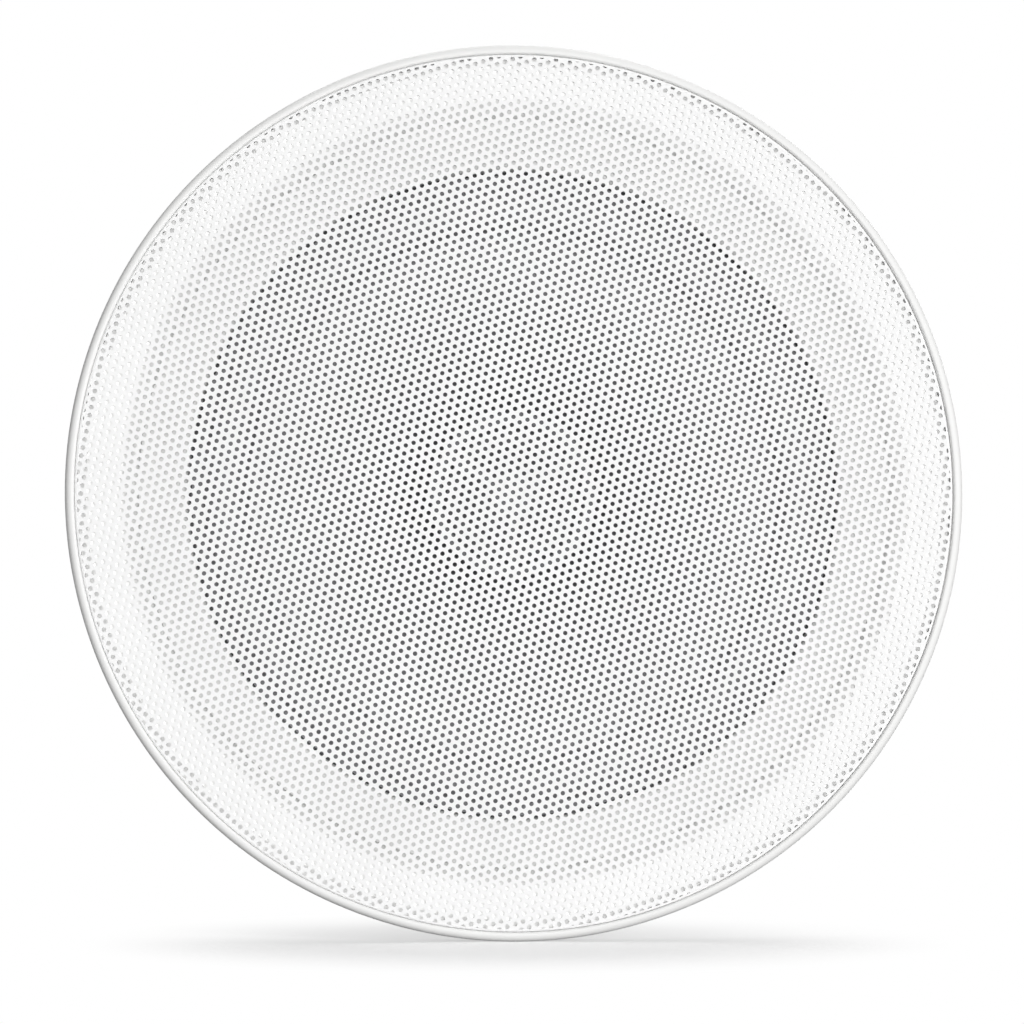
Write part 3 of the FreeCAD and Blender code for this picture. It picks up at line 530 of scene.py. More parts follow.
@dataclass
class FrontFrame:
    """Moulded frame: rounded rim, grille groove, flared baffle, driver seat, collar and forked clamp ears.

    Attributes:
        rim: the rim's outside radius.
        crest: depth of the rim's highest line.
        rim_round: radius of the rim's outer round.
        bead: radius of its inner round.
        rear_break: width of the bevel at the rim's back.
        groove: inner and outer radius of the groove that takes the grille's edge.
        groove_floor: depth of the groove's floor.
        lip: depth of the lip that the grille lies on.
        lip_edge: width of the lip's last strip, which keeps its shading flat up to the flare.
        flare: radii at which the flared baffle starts and ends.
        flare_radius: radius of its curve.
        ledge: depths of the step under the flare.
        mouth: depth of the opening's edge.
        mouth_round: radius of that edge.
        aperture: the opening's radius.
        seat: radius and depth of the driver's seat.
        floor: depth of the face round the seat.
        collar: inner and outer radius of the collar.
        collar_end: depth of the collar's end.
        root: radius of the hollow round at the collar's foot.
        seal: inner and outer radius of the recess for the wall seal.
        seal_depth: depth of that recess.
        steps: points round a full turn of the ring.
        ear: radius of the ears' round ends.
        ear_root: how far an ear goes into the frame.
        ear_steps: points round an ear's outline, apart from its two corners.
        bore: radius of the pin's bore.
        fork: distances along the pin to an ear's inside and outside.
        fork_floor: depth of the fork's floor.
        edge: width of the round on the ears' edges.
        edge_segments: flat strips that make up that round.
        edge_angle: degrees between two faces from which their edge is rounded.
    """

    rim: float = 104.0
    crest: float = -10.0
    rim_round: float = 1.6
    bead: float = 0.6
    rear_break: float = 0.6
    groove: tuple[float, float] = (99.1, 101.8)
    groove_floor: float = -6.4
    lip: float = -8.9
    lip_edge: float = 0.2
    flare: tuple[float, float] = (91.9, 87.3)
    flare_radius: float = 6.0
    ledge: tuple[float, float] = (-5.5, -4.9)
    mouth: float = -0.2
    mouth_round: float = 1.5
    aperture: float = 76.3
    seat: tuple[float, float] = (83.3, 4.5)
    floor: float = 1.0
    collar: tuple[float, float] = (88.0, 90.5)
    collar_end: float = 10.0
    root: float = 1.0
    seal: tuple[float, float] = (94.5, 100.5)
    seal_depth: float = 1.5
    steps: int = 720
    ear: float = 3.5
    ear_root: float = 1.0
    ear_steps: int = 96
    bore: float = 1.55
    fork: tuple[float, float] = (7.4, 10.4)
    fork_floor: float = 13.0
    edge: float = 0.3
    edge_segments: int = 2
    edge_angle: float = 50.0

    def flared(self) -> np.ndarray:
        """Points of the baffle's flare.

        The curve's middle lies off its chord's middle, square to the chord and into the frame, by the root of
        its radius squared less half the chord squared.

        Returns:
            Rows of radius and depth.
        """
        first, last = np.array([self.flare[0], self.lip]), np.array([self.flare[1], self.ledge[0]])
        half = (last - first) / 2
        square = np.array([half[1], -half[0]]) / np.linalg.norm(half)
        middle = first + half + square * math.sqrt(self.flare_radius**2 - half @ half)
        start, end = (math.degrees(math.atan2(p[1], p[0])) for p in (first - middle, last - middle))
        return arc((middle[0], middle[1]), self.flare_radius, start, end, steps=11)

    def ring(self) -> Surface:
        """Carries the frame's section round the axis, from the rim's back over its crest to the wall side.

        Returns:
            The closed ring.
        """
        crown = self.rim - self.rim_round
        mouth = (self.aperture + self.mouth_round, self.mouth + self.mouth_round)
        outline = np.concatenate([
            [(self.rim - self.rear_break, 0), (self.rim, -self.rear_break)],
            arc((crown, self.crest + self.rim_round), self.rim_round, 0, -90, steps=15),
            arc((crown, self.crest + self.bead), self.bead, -90, -180, steps=9)[1:],
            [(self.groove[1], self.groove_floor), (self.groove[0], self.groove_floor)],
            [(self.groove[0], self.lip), (self.flare[0] + self.lip_edge, self.lip)],
            self.flared(),
            [(self.flare[1], self.ledge[1])],
            arc(mouth, self.mouth_round, -90, -180, steps=9),
            [(self.aperture, self.seat[1]), self.seat, (self.seat[0], self.floor)],
            [(self.collar[0], self.floor), (self.collar[0], self.collar_end)],
            [(self.collar[1], self.collar_end)],
            arc((self.collar[1] + self.root, self.root), self.root, 180, 270, steps=7),
            [(self.seal[0], 0), (self.seal[0], -self.seal_depth)],
            [(self.seal[1], -self.seal_depth), (self.seal[1], 0)],
        ])
        return lathe(even_turns(self.steps), outline[:, 0], outline[:, 1])

    def plate(self, near: float, far: float) -> Surface:
        """Builds one ear of a fork, bored for the pin.

        On a ray from the pin's middle the outline lies at the ear's radius behind the pin. Before the pin it
        lies at the ear's radius over the ray's sine or at the root's distance over its cosine, whichever is
        less.

        Args:
            near: distance along the pin to the ear's first face.
            far: distance to its second face.

        Returns:
            The closed surface, with the first clamp's pin along X.
        """
        foot = PIVOT[0] + self.ear_root
        corner = math.atan2(self.ear, -foot)
        even = even_turns(self.ear_steps)
        turn = np.sort(np.append(even, [corner, math.tau - corner]))[:, None]
        across, ahead = np.maximum(abs(np.sin(turn)), TINY), np.maximum(-np.cos(turn), TINY)
        edge = np.where(np.cos(turn) > 0, self.ear, np.minimum(self.ear / across, foot / ahead))
        bore = np.full_like(edge, self.bore)
        made = lathe(turn, np.concatenate([bore, edge, edge, bore], axis=1), np.array([near, near, far, far]))
        return Surface(made.points[:, [1, 2, 0]], made.faces).moved(0.0, *PIVOT)

    def ears(self) -> Surface:
        """Joins two ears and the block between their roots, once for each clamp.

        Returns:
            All the ears as one surface.
        """
        inside, outside = self.fork
        low = (-inside, -self.ear_root, PIVOT[1] - self.ear)
        high = (inside, self.fork_floor, PIVOT[1] + self.ear)
        corners = np.stack(np.meshgrid(*zip(low, high), indexing="ij"), axis=-1).reshape(-1, 3)
        sides = [[0, 1, 3, 2], [4, 6, 7, 5], [0, 4, 5, 1], [2, 3, 7, 6], [0, 2, 6, 4], [1, 5, 7, 3]]
        block = Surface(corners, np.array(sides))
        fork = gathered([block, self.plate(inside, outside), self.plate(-outside, -inside)])
        return gathered([fork.turned(clamp.value) for clamp in Clamp])

    def dress(self, wardrobe: Wardrobe) -> None:
        """Gives the frame its white plastic, rounds the ears' edges and fixes both to the speaker.

        Args:
            wardrobe: the finishes.
        """
        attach(wardrobe.piece("frame_ring", self.ring(), "frame_plastic", "front_frame"), "speaker")
        forks = wardrobe.piece("clamp_ears", self.ears(), "frame_plastic", "front_frame")
        rounds = forks.modifiers.new("moulded_edges", "BEVEL")
        rounds.width, rounds.segments = self.edge * MM, self.edge_segments
        rounds.angle_limit = math.radians(self.edge_angle)
        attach(forks, "speaker")


@dataclass
class Grille:
    """Perforated steel sheet with its edge folded back into the frame's groove.

    Attributes:
        front: depth of the sheet's front.
        sheet: its thickness.
        radius: the folded edge's outside radius.
        bend: the fold's outside radius.
        skirt: depth from the front to the fold's end.
        hole: hole radius.
        pitch: distance between neighbouring holes.
        lean: angle of the hole rows above the horizontal, in degrees.
        offset: the middle hole's place along and across its row, in pitches.
        spare: how far beyond the flat a cell's middle may lie, in pitches: a little over its corner's reach.
        sectors: number of pieces that the sheet is split into.
        hem_rows: points across the hem on each face.
        steps: points round a full turn of the hem.
    """

    front: float = -9.4
    sheet: float = 0.5
    radius: float = 101.74
    bend: float = 0.6
    skirt: float = 2.6
    hole: float = 0.525
    pitch: float = 1.908
    lean: float = 18.75
    offset: tuple[float, float] = (-0.47, 0.19)
    spare: float = 0.6
    sectors: int = 6
    hem_rows: int = 24
    steps: int = 720

    @property
    def flat(self) -> float:
        """Radius at which the fold starts."""
        return self.radius - self.bend

    @property
    def blank(self) -> float:
        """The unfolded sheet's radius: the flat, a quarter turn of the fold and the straight skirt."""
        return self.flat + self.bend * math.pi / 2 + self.skirt - self.bend

    def folded(self, across: np.ndarray, turn: np.ndarray, inside: bool) -> np.ndarray:
        """Folds points of the unfolded sheet.

        A point stays flat up to the fold, then goes round it by arc length over bend radius, then straight
        back.

        Args:
            across: distance from the middle on the unfolded sheet.
            turn: angle round the speaker's axis from +Z towards +X.
            inside: whether the point is on the sheet's back.

        Returns:
            Points in millimetres.
        """
        curl = self.bend - self.sheet if inside else self.bend
        face = self.front + self.sheet if inside else self.front
        over = np.maximum(across - self.flat, 0)
        angle = np.minimum(over / self.bend, math.pi / 2)
        radius = np.minimum(across, self.flat) + curl * np.sin(angle)
        depth = face + curl * (1 - np.cos(angle)) + np.maximum(over - self.bend * math.pi / 2, 0)
        return np.stack([radius * np.sin(turn), depth, radius * np.cos(turn)], axis=-1)

    def hole_centres(self) -> np.ndarray:
        """Middles of the hexagonal lattice's cells: steps along a row, rows at sin 60 degrees of the pitch.

        No cell within the reach is more than 2 over root 3 times the reach, in pitches, from the middle along
        either of the lattice's two directions. Two more on each side make up for the offset.

        Returns:
            Rows of x and z.
        """
        reach = self.flat + self.pitch * self.spare
        most = math.ceil(reach / self.pitch * 2 / math.sqrt(3)) + 2
        step, row = np.meshgrid(*[np.arange(-most, most + 1)] * 2)
        along = (step + row / 2 + self.offset[0]).ravel() * self.pitch
        across = (row * math.sqrt(3) / 2 + self.offset[1]).ravel() * self.pitch
        lean = math.radians(self.lean)
        x = along * math.cos(lean) + across * math.sin(lean)
        z = along * math.sin(lean) - across * math.cos(lean)
        inside = np.hypot(x, z) < reach
        return np.stack([x[inside], z[inside]], axis=-1)

    def perforation(self, centres: np.ndarray) -> Surface:
        """Builds the cells round holes: a hexagon with a round hole on both faces, and the hole's wall.

        Twelve rays leave each middle, 30 degrees apart. On them lie the hole's edge and, in turn, the middles
        of the hexagon's sides and its corners, at half a pitch and a pitch over root 3. Beyond the start of
        the fold every point is drawn in to it, which cuts the outermost cells and holes on a clean circle.

        Args:
            centres: the cells' middles, in x and z.

        Returns:
            The surface of those cells.
        """
        turns = np.arange(12)
        ray = np.radians(self.lean + turns * 30)
        edge = np.where(turns % 2 == 0, self.pitch / 2, self.pitch / math.sqrt(3))
        spokes = np.stack([np.cos(ray), np.sin(ray)], axis=-1)
        flat = np.stack([centres[:, None, :] + spokes * size for size in (self.hole, edge[:, None])], axis=1)
        across = np.hypot(flat[..., 0], flat[..., 1])
        turn = np.arctan2(flat[..., 0], flat[..., 1])
        cut = across >= self.flat
        layers = [self.folded(np.minimum(across, self.flat), turn, inside) for inside in (False, True)]
        points = np.stack(layers, axis=1)
        number = np.arange(points[..., 0].size).reshape(points.shape[:-1])
        after = np.roll(number, -1, axis=-1)
        cut_after = np.roll(cut, -1, axis=-1)
        closed = cut[:, 0] & cut_after[:, 0]
        lost = closed & cut[:, 1] & cut_after[:, 1]
        front = [number[:, 0, 0], number[:, 0, 1], after[:, 0, 1], after[:, 0, 0]]
        back = [number[:, 1, 0], after[:, 1, 0], after[:, 1, 1], number[:, 1, 1]]
        wall = [number[:, 0, 0], after[:, 0, 0], after[:, 1, 0], number[:, 1, 0]]
        kept = ((front, lost), (back, lost), (wall, closed))
        faces = [np.stack(corners, axis=-1)[~dropped] for corners, dropped in kept]
        return Surface(points.reshape(-1, 3), np.concatenate(faces)).merged()

    def hem(self) -> Surface:
        """Builds the plain ring at the edge: the strip from the perforation round the fold, front then back.

        Returns:
            The closed ring.
        """
        along = np.linspace(self.flat, self.blank, self.hem_rows)
        ahead = np.zeros_like(along)
        outline = np.concatenate([self.folded(along, ahead, False), self.folded(along, ahead, True)[::-1]])
        return lathe(even_turns(self.steps), outline[:, 2], outline[:, 1])

    def build(self) -> dict[str, Surface]:
        """Makes the sheet's sectors and its hem.

        Returns:
            Their surfaces by name.
        """
        centres = self.hole_centres()
        bearing = np.arctan2(centres[:, 1], centres[:, 0]) / math.tau + 0.5
        sector = np.floor(bearing * self.sectors).astype(int) % self.sectors
        made = {
            f"grille_sheet_{number + 1}": self.perforation(centres[sector == number])
            for number in range(self.sectors)
        }
        return made | {"grille_hem": self.hem()}

    def dress(self, wardrobe: Wardrobe) -> None:
        """Gives each part of the sheet its powder coat and fixes it to the speaker."""
        for name, surface in self.build().items():
            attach(wardrobe.piece(name, surface, "grille_steel", "grille"), "speaker")


@dataclass
class Suspension:
    """Soft rings that hold the cone: the rubber half roll at its edge and the corrugated cloth on its neck.

    Attributes:
        roll_middle: radius of the half roll's middle line.
        roll: the half roll's outside radius.
        skin: the rubber's thickness.
        landing: outer radius of the part that is glued to the basket.
        lip: inner radius of the part that is glued to the cone.
        plane: depth of the rubber's front beside the roll.
        neck: radius at which the cloth is glued to the coil former.
        waves: radii between which the cloth is corrugated.
        wave_count: number of waves.
        wave_height: height of a wave.
        cloth: the cloth's thickness.
        shelf: depth of the basket's shelf.
        shelf_reach: outer radius of the cloth.
        roll_steps: points across the half roll and round a full turn of it.
        cloth_steps: points across the waves and round a full turn of them.
    """

    roll_middle: float = 67.5
    roll: float = 5.4
    skin: float = 0.8
    landing: float = 75.6
    lip: float = 59.5
    plane: float = 4.7
    neck: float = 13.05
    waves: tuple[float, float] = (14.25, 40.45)
    wave_count: int = 4
    wave_height: float = 1.6
    cloth: float = 0.6
    shelf: float = 31.0
    shelf_reach: float = 44.45
    roll_steps: tuple[int, int] = (49, 240)
    cloth_steps: tuple[int, int] = (97, 192)

    def surround(self) -> Surface:
        """Builds the half roll with its two flat landings: the outer arc one way and the inner arc back.

        Returns:
            The closed ring.
        """
        inner, back = self.roll - self.skin, self.plane + self.skin
        middle = (self.roll_middle, self.plane)
        steps, round_steps = self.roll_steps
        outline = np.concatenate([
            [(self.landing, self.plane)],
            arc(middle, self.roll, 0, -180, steps),
            [(self.lip, self.plane), (self.lip, back), (self.roll_middle - inner, back)],
            arc(middle, inner, -180, 0, steps),
            [(self.roll_middle + inner, back), (self.landing, back)],
        ])
        return lathe(even_turns(round_steps), outline[:, 0], outline[:, 1])

    def spider(self) -> Surface:
        """Builds the corrugated ring.

        Its back comes forward from the shelf by half the wave height times one minus the cosine of the wave.

        Returns:
            The closed ring.
        """
        start, end = self.waves
        steps, round_steps = self.cloth_steps
        radius = np.concatenate([[self.neck], np.linspace(start, end, steps), [self.shelf_reach]])
        phase = np.clip((radius - start) / (end - start), 0, 1) * self.wave_count * math.tau
        back = self.shelf - self.wave_height / 2 * (1 - np.cos(phase))
        both = np.concatenate([radius, radius[::-1]]), np.concatenate([back - self.cloth, back[::-1]])
        return lathe(even_turns(round_steps), *both)

    def hang(self, made: bpy.types.Object) -> None:
        """Bakes the ring's placement into its points and reads the points back; nothing more is done with them.

        Args:
            made: the ring's object.
        """
        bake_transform(made)
        places = np.empty(len(made.data.vertices) * 3, np.float32)
        made.data.vertices.foreach_get("co", places)

    def dress(self, wardrobe: Wardrobe) -> None:
        """Gives the rings their rubber and cloth and bakes their placement into their points.

        Args:
            wardrobe: the finishes.
        """
        roll = wardrobe.piece("surround_roll", self.surround(), "surround_rubber", "surround")
        self.hang(roll)
        cloth = wardrobe.piece("spider_cloth", self.spider(), "spider_cloth", "spider")
        self.hang(cloth)


@dataclass
class ClampSpring:
    """Torsion spring on a clamp's pin, with one leg against the frame and one on the clamp's arm.

    Attributes:
        clamp: the clamp that the spring drives.
        coil: radius of the coil's middle line.
        wire: the wire's radius.
        length: distance along the pin from the first turn to the last.
        sweep: the angles at which the coil starts and ends, in degrees.
        frame_leg: length of the leg on the frame.
        arm_leg: length of the leg on the arm.
        leg_start: distance from the coil to a leg's first point.
        coil_steps: points along the coil.
        leg_steps: points along the leg on the frame and along the leg on the arm.
        wire_steps: points round the wire.
    """

    clamp: Clamp
    coil: float = 2.55
    wire: float = 0.45
    length: float = 2.7
    sweep: tuple[float, float] = (-90.0, 1105.0)
    frame_leg: float = 3.65
    arm_leg: float = 8.0
    leg_start: float = 0.3
    coil_steps: int = 121
    leg_steps: tuple[int, int] = (7, 9)
    wire_steps: int = 12

    def path(self) -> np.ndarray:
        """Points of the wire's middle line, from the pin's middle: a leg, the helix and the other leg.

        The helix goes along the pin in step with its angle, with the cosine towards the back and the sine
        outwards. Each leg leaves it along its tangent, square to the pin.

        Returns:
            Rows of distances along the pin, towards the back and outwards.
        """
        angle = np.radians(np.linspace(*self.sweep, self.coil_steps))
        along = np.linspace(-self.length / 2, self.length / 2, self.coil_steps)
        helix = np.stack([along, self.coil * np.cos(angle), self.coil * np.sin(angle)], axis=-1)
        first = np.linspace(-self.frame_leg, -self.leg_start, self.leg_steps[0])[:, None]
        last = np.linspace(self.leg_start, self.arm_leg, self.leg_steps[1])[:, None]
        straight = np.array([0.0, 1.0, 0.0])
        tangent = np.array([0.0, -math.sin(angle[-1]), math.cos(angle[-1])])
        return np.concatenate([helix[0] + first * straight, helix, helix[-1] + last * tangent])

    def build(self) -> Surface:
        """Carries the wire's round section along the path, with a point at each end.

        At each place the section lies square to the path, on the pin's direction less its part along the
        path, and on the direction across both.

        Returns:
            The closed surface.
        """
        path = self.path()
        way = np.gradient(path, axis=0)
        way /= np.linalg.norm(way, axis=1, keepdims=True)
        side = np.array([1.0, 0.0, 0.0]) - way * way[:, :1]
        side /= np.linalg.norm(side, axis=1, keepdims=True)
        across = np.cross(way, side)
        steps = self.wire_steps
        around = even_turns(steps)[None, :, :]
        section = side[:, None, :] * np.cos(around) + across[:, None, :] * np.sin(around)
        tube = path[:, None, :] + self.wire * section
        first, last = (np.repeat(end[None, None, :], steps, axis=1) for end in (path[0], path[-1]))
        points = np.concatenate([first, tube, last])
        made = Surface(points.reshape(-1, 3), grid_faces(len(points), steps, False, True)).merged().outward()
        return made.moved(0.0, *PIVOT).turned(self.clamp.value)

    def dress(self, wardrobe: Wardrobe) -> None:
        """Gives the wire its zinc and bakes its placement into its points.

        Args:
            wardrobe: the finishes.
        """
        side, turn = self.clamp.name.lower(), math.radians(self.clamp.value)
        made = wardrobe.piece(f"torsion_spring_{side}", self.build(), "zinc_steel", f"clamp_spring_{side}")
        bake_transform(made)


@dataclass
class DriverScrews:
    """Pan-head screws with a cross recess, which hold the basket to the frame from behind.

    Attributes:
        count: number of screws.
        circle: radius of the circle that they stand on.
        seat: depth of the face under their heads.
        head: the head's radius.
        height: the head's height.
        shank: the shank's radius.
        length: the shank's length.
        thread: distance between the thread's turns.
        thread_height: the thread's height.
        tip: length of the cone at the shank's tip.
        steps: points round the shank and along it.
        recess: half width, reach and depth of the cross recess.
        ramp: half the width over which the recess's walls fall.
        shallow: share of its depth that the recess loses at the ends of its arms.
        arm_lines: distances of the grid's lines along an arm of the recess.
        edge_lines: distances of its lines from the recess outwards, closer where the head falls faster.
        seed: start of the chance angles at which the screws were left.
    """

    count: int = 6
    circle: float = 79.2
    seat: float = 6.7
    head: float = 2.6
    height: float = 1.8
    shank: float = 1.5
    length: float = 5.0
    thread: float = 1.1
    thread_height: float = 0.3
    tip: float = 1.2
    steps: tuple[int, int] = (24, 46)
    recess: tuple[float, float, float] = (0.4, 1.5, 1.0)
    ramp: float = 0.05
    shallow: float = 0.3
    arm_lines: tuple[float, ...] = (0.7, 1.0, 1.25)
    edge_lines: tuple[float, ...] = (1.75, 2.0, 2.2, 2.38, 2.5, 2.57)
    seed: int = 7

    def cap(self) -> Surface:
        """Builds the head over a square grid whose outer lines bulge into circles.

        The height is the head's height times the root of one less the fourth power of radius over head
        radius. Inside the cross, where one distance from the middle is under its half width and the other
        under its reach, the recess is taken off, shallower towards the ends of its arms.

        Returns:
            The head with its flat underside.
        """
        half, reach, depth = self.recess
        ramp = self.ramp
        lines = np.array([
            0, half / 2, half - ramp, half + ramp, *self.arm_lines,
            reach - ramp, reach + ramp, *self.edge_lines, self.head,
        ])
        u, v = np.meshgrid(*[np.concatenate([-lines[:0:-1], lines])] * 2, indexing="ij")
        near, far = np.minimum(abs(u), abs(v)), np.maximum(abs(u), abs(v))
        bulge = np.clip((far - reach - ramp) / (self.head - reach - ramp), 0, 1)
        scale = 1 + bulge * (far / np.maximum(np.hypot(u, v), TINY) - 1)
        radius = np.hypot(u, v) * scale
        rise = self.height * np.sqrt(np.clip(1 - (radius / self.head) ** 4, 0, 1))
        across = np.clip((half + ramp - near) / (2 * ramp), 0, 1)
        along = np.clip((reach + ramp - far) / (2 * ramp), 0, 1)
        sunk = across * along * depth * (1 - self.shallow * far / reach)
        top = np.stack([u * scale, rise - sunk, v * scale], axis=-1)
        under = top * np.array([1.0, 0.0, 1.0])
        faces = grid_faces(*u.shape, False, False)
        sides = np.concatenate([faces, faces[:, ::-1] + u.size])
        return Surface(np.concatenate([top.reshape(-1, 3), under.reshape(-1, 3)]), sides).merged().outward()

    def stem(self) -> Surface:
        """Builds the threaded shank with a cone at its tip.

        The radius is the shank's less the thread's height times a triangle wave of the depth over the
        thread's spacing less the angle over a full turn.

        Returns:
            The shank, closed at both ends.
        """
        round_steps, long_steps = self.steps
        turn = even_turns(round_steps)
        depth = np.linspace(0, self.length, long_steps)
        phase = (depth / self.thread - turn / math.tau) % 1
        radius = self.shank - self.thread_height * abs(2 * phase - 1)
        radius = radius * np.clip((self.length - depth) / self.tip, 0, 1)
        closed = np.concatenate([np.zeros_like(turn), radius], axis=1)
        return lathe(turn, closed, -np.concatenate([[0.0], depth]))

    def build(self) -> Surface:
        """Stands the screws on their circle, each turned by its own chance angle as a driver leaves it.

        Returns:
            All the screws as one surface.
        """
        one = gathered([self.cap(), self.stem()])
        spins = np.random.default_rng(self.seed).uniform(0, 90, self.count)
        ways = zip(spins, np.arange(self.count) * 360 / self.count)
        return gathered([
            one.turned(spin).moved(0, self.seat, self.circle).turned(place) for spin, place in ways
        ])

    def dress(self, wardrobe: Wardrobe) -> None:
        """Gives the screws their zinc and fixes them to the speaker."""
        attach(wardrobe.piece("basket_screws", self.build(), "zinc_steel", "driver_screws"), "speaker")


@dataclass
class PostNut:
    """Hexagon nut behind the yoke, chamfered at its corners and at both ends of its bore.

    Attributes:
        front: depth of the face on the yoke.
        height: the nut's height.
        corner: radius to its corners.
        bore: radius of its bore.
        lead: width of the bore's chamfers.
        crown: radius at which the corner chamfer starts.
        slope: angle of the corner chamfer, in degrees.
        steps: points round a full turn.
    """

    front: float = 67.0
    height: float = 4.0
    corner: float = 8.0
    bore: float = 5.05
    lead: float = 0.5
    crown: float = 6.6
    slope: float = 30.0
    steps: int = 144

    def build(self) -> Surface:
        """Carries the nut's profile round its axis.

        The side's radius is the distance to the flats over the cosine of the angle from the nearest flat's
        middle, and the chamfer falls from the crown by the tangent of its slope.

        Returns:
            The closed surface.
        """
        turn = even_turns(self.steps)
        half = math.radians(30)
        flat = (turn + half) % (2 * half) - half
        side = self.corner * math.cos(half) / np.cos(flat)
        back, mouth = self.front + self.height, self.bore + self.lead
        fall = (side - self.crown) * math.tan(math.radians(self.slope))
        radius = (mouth, side, side, self.crown, mouth, self.bore, self.bore)
        depth = (self.front, self.front, back - fall, back, back, back - self.lead, self.front + self.lead)
        return lathe(turn, *(np.hstack(np.broadcast_arrays(*column)) for column in (radius, depth)))

    def dress(self, wardrobe: Wardrobe) -> None:
        """Gives the nut its zinc and fixes it to the speaker."""
        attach(wardrobe.piece("chamfered_nut", self.build(), "zinc_steel", "post_nut"), "speaker")


@dataclass(frozen=True)
class Lamp:
    """A square lamp that faces the speaker.

    Attributes:
        name: the lamp's name.
        place: its middle, in metres.
        size: its side, in metres.
        power: its power in watts.
    """

    name: str
    place: tuple[float, float, float]
    size: float
    power: float

    def build(self) -> None:
        """Adds the lamp to the scene and turns it to the speaker."""
        lamp = bpy.data.lights.new(self.name, "AREA")
        lamp.size, lamp.energy = self.size, self.power
        made = placed(self.name, lamp)
        made.location = self.place
        made.rotation_euler = (-Vector(self.place)).to_track_quat("-Z", "Y").to_euler()


SOFTBOXES: tuple[Lamp, ...] = (
    # far off to the right, so that both sides of the white sheet get nearly the same light
    Lamp("key_softbox", (2.2, -2.6, 0.5), 0.9, 62.5),
    # above and a little behind: the shadow on the floor
    Lamp("top_softbox", (0.0, 0.55, 1.1), 0.9, 9.0),
    # behind: a fill that shows the back
    Lamp("rear_softbox", (0.55, 1.25, 0.3), 0.8, 7.6),
)


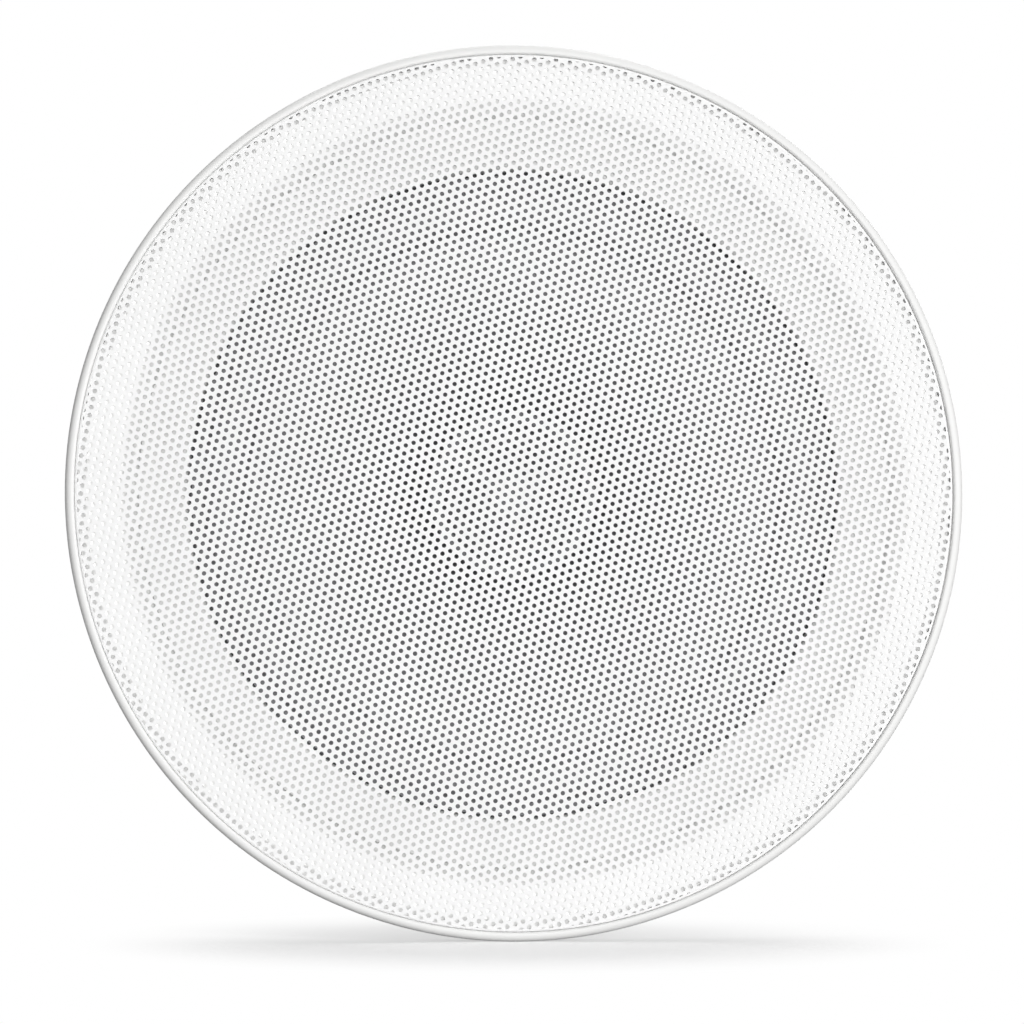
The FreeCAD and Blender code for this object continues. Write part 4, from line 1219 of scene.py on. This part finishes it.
@dataclass
class Studio:
    """Floor, light and camera.

    Attributes:
        floor: height of the floor, under the rim's lowest point.
        floor_half: half the floor's side.
        paper_lit: colour of the floor's paper round the speaker, where its shadow shows.
        paper_glow: brightness that is added to it.
        paper_dim: colour with which the paper throws light back at the speaker.
        paper: distances from the speaker, in metres, between which the floor's shadow fades into white.
        even_light: strength of the light from all round.
        distance: from the camera to the middle of the grille, in metres.
        azimuth: the camera's place to the side, in degrees, with the left below zero.
        elevation: the camera's place above the middle, in degrees.
        aim: the point in the middle of the picture.
        field: width that the picture covers at the grille.
        sensor: the camera's sensor width.
        lamp_behind: distance from the camera back to its lamp, in metres.
        lamp_size: that lamp's side, in metres.
        lamp_power: its power in watts.
    """

    floor: float = -104.0
    floor_half: float = 4000.0
    paper_lit: str = "#C9C9C9"
    paper_glow: float = 0.53
    paper_dim: str = "#555555"
    paper: tuple[float, float] = (0.045, 0.105)
    even_light: float = 0.08
    distance: float = 0.75
    azimuth: float = -2.37
    elevation: float = -3.51
    aim: tuple[float, float, float] = (-0.98, -9.4, -5.23)
    field: float = 236.73
    sensor: float = 36.0
    lamp_behind: float = 0.03
    lamp_size: float = 0.035
    lamp_power: float = 3.2

    def seen(self, tree: bpy.types.NodeTree) -> bpy.types.NodeSocket:
        """Tells rays that are seen from rays that only light a surface.

        Args:
            tree: the node tree that asks.

        Returns:
            A socket that is one for rays seen directly, in a mirror or through glass, and zero for others.
        """
        path = add_node(tree, "ShaderNodeLightPath", {}, {}).outputs
        most = {"operation": "MAXIMUM"}
        direct = {0: path["Is Camera Ray"], 1: path["Is Glossy Ray"]}
        shown = add_node(tree, "ShaderNodeMath", most, direct).outputs[0]
        return add_node(tree, "ShaderNodeMath", most, {0: shown, 1: path["Is Transmission Ray"]}).outputs[0]

    def build_world(self) -> None:
        """Makes the surroundings: plain white where they are seen, and a weak even light."""
        world = bpy.data.worlds.new("white_surroundings")
        tree = bare_tree(world)
        soft, plain = (
            add_node(tree, "ShaderNodeBackground", {}, {"Color": WHITE, "Strength": strength}).outputs[0]
            for strength in (self.even_light, 1.0)
        )
        both = add_node(tree, "ShaderNodeMixShader", {}, {0: self.seen(tree), 1: soft, 2: plain}).outputs[0]
        add_node(tree, "ShaderNodeOutputWorld", {}, {"Surface": both})
        bpy.context.scene.world = world

    def paper_sheet(self) -> bpy.types.Material:
        """Builds the floor's paper.

        Where it is seen, it is lit and glows a little near the speaker, and goes over to plain white with the
        distance from the speaker's axis by a smooth step. For the light that it throws back it is a dim grey.

        Returns:
            The material.
        """
        paper = bpy.data.materials.new("white_paper")
        tree = bare_tree(paper)
        place = add_node(tree, "ShaderNodeTexCoord", {}, {}).outputs["Object"]
        flat = {0: place, 1: (1.0, 1.0, 0.0)}
        level = add_node(tree, "ShaderNodeVectorMath", {"operation": "MULTIPLY"}, flat).outputs[0]
        away = add_node(tree, "ShaderNodeVectorMath", {"operation": "LENGTH"}, {0: level}).outputs["Value"]
        near, far = self.paper
        smooth = {"interpolation_type": "SMOOTHSTEP"}
        reach = {"Value": away, "From Min": near, "From Max": far}
        fade = add_node(tree, "ShaderNodeMapRange", smooth, reach).outputs[0]
        lit, dim = (
            add_node(tree, "ShaderNodeBsdfDiffuse", {}, {"Color": linear(colour)}).outputs[0]
            for colour in (self.paper_lit, self.paper_dim)
        )
        glow, clear = (
            add_node(tree, "ShaderNodeEmission", {}, {"Color": WHITE, "Strength": strength}).outputs[0]
            for strength in (self.paper_glow, 1.0)
        )
        shaded = add_node(tree, "ShaderNodeAddShader", {}, {0: lit, 1: glow}).outputs[0]
        shown = add_node(tree, "ShaderNodeMixShader", {}, {0: fade, 1: shaded, 2: clear}).outputs[0]
        both = add_node(tree, "ShaderNodeMixShader", {}, {0: self.seen(tree), 1: dim, 2: shown}).outputs[0]
        add_node(tree, "ShaderNodeOutputMaterial", {}, {"Surface": both})
        return paper

    def build_floor(self) -> None:
        """Makes the pale floor, one large square that keeps the speaker's shadow."""
        corners = np.array([[-1, -1, 0], [1, -1, 0], [1, 1, 0], [-1, 1, 0]]) * self.floor_half
        sheet = Surface(corners, np.array([[0, 1, 2, 3]])).moved(0, 0, self.floor)
        floor = placed("floor", sheet.mesh("floor"))
        floor.data.materials.append(self.paper_sheet())

    def build_camera(self) -> Vector:
        """Sets the camera on its bearing; the lens is the sensor's width times distance over field.

        Returns:
            The direction from the speaker to the camera.
        """
        side, rise = math.radians(self.azimuth), math.radians(self.elevation)
        back = Vector((math.sin(side) * math.cos(rise), -math.cos(side) * math.cos(rise), math.sin(rise)))
        data = bpy.data.cameras.new("camera")
        data.sensor_width = self.sensor
        data.lens = self.sensor * self.distance / (self.field * MM)
        made = placed("camera", data)
        made.location = Vector(self.aim) * MM + back * self.distance
        made.rotation_euler = (-back).to_track_quat("-Z", "Y").to_euler()
        bpy.context.scene.camera = made
        return back

    def build(self) -> None:
        """Makes the surroundings, floor, camera and lights.

        A small lamp stands right behind the camera, so that what is seen through a hole is lit through it.
        """
        bpy.context.scene.view_settings.view_transform = "Standard"
        self.build_world()
        self.build_floor()
        behind = self.build_camera() * (self.distance + self.lamp_behind)
        Lamp("camera_lamp", tuple(behind), self.lamp_size, self.lamp_power).build()
        for softbox in SOFTBOXES:
            softbox.build()


def main() -> None:
    """Dresses the solids, makes the new pieces in order and sets the studio."""
    logging.basicConfig(level=logging.INFO)
    wardrobe = Wardrobe()
    wardrobe.dress_solids(frame["nodes"], frame["record"]["subparts"])
    FrontFrame().dress(wardrobe)
    Grille().dress(wardrobe)
    Suspension().dress(wardrobe)
    for clamp in Clamp:
        ClampSpring(clamp).dress(wardrobe)
    DriverScrews().dress(wardrobe)
    PostNut().dress(wardrobe)
    Studio().build()


if __name__ == "__main__":
    main()
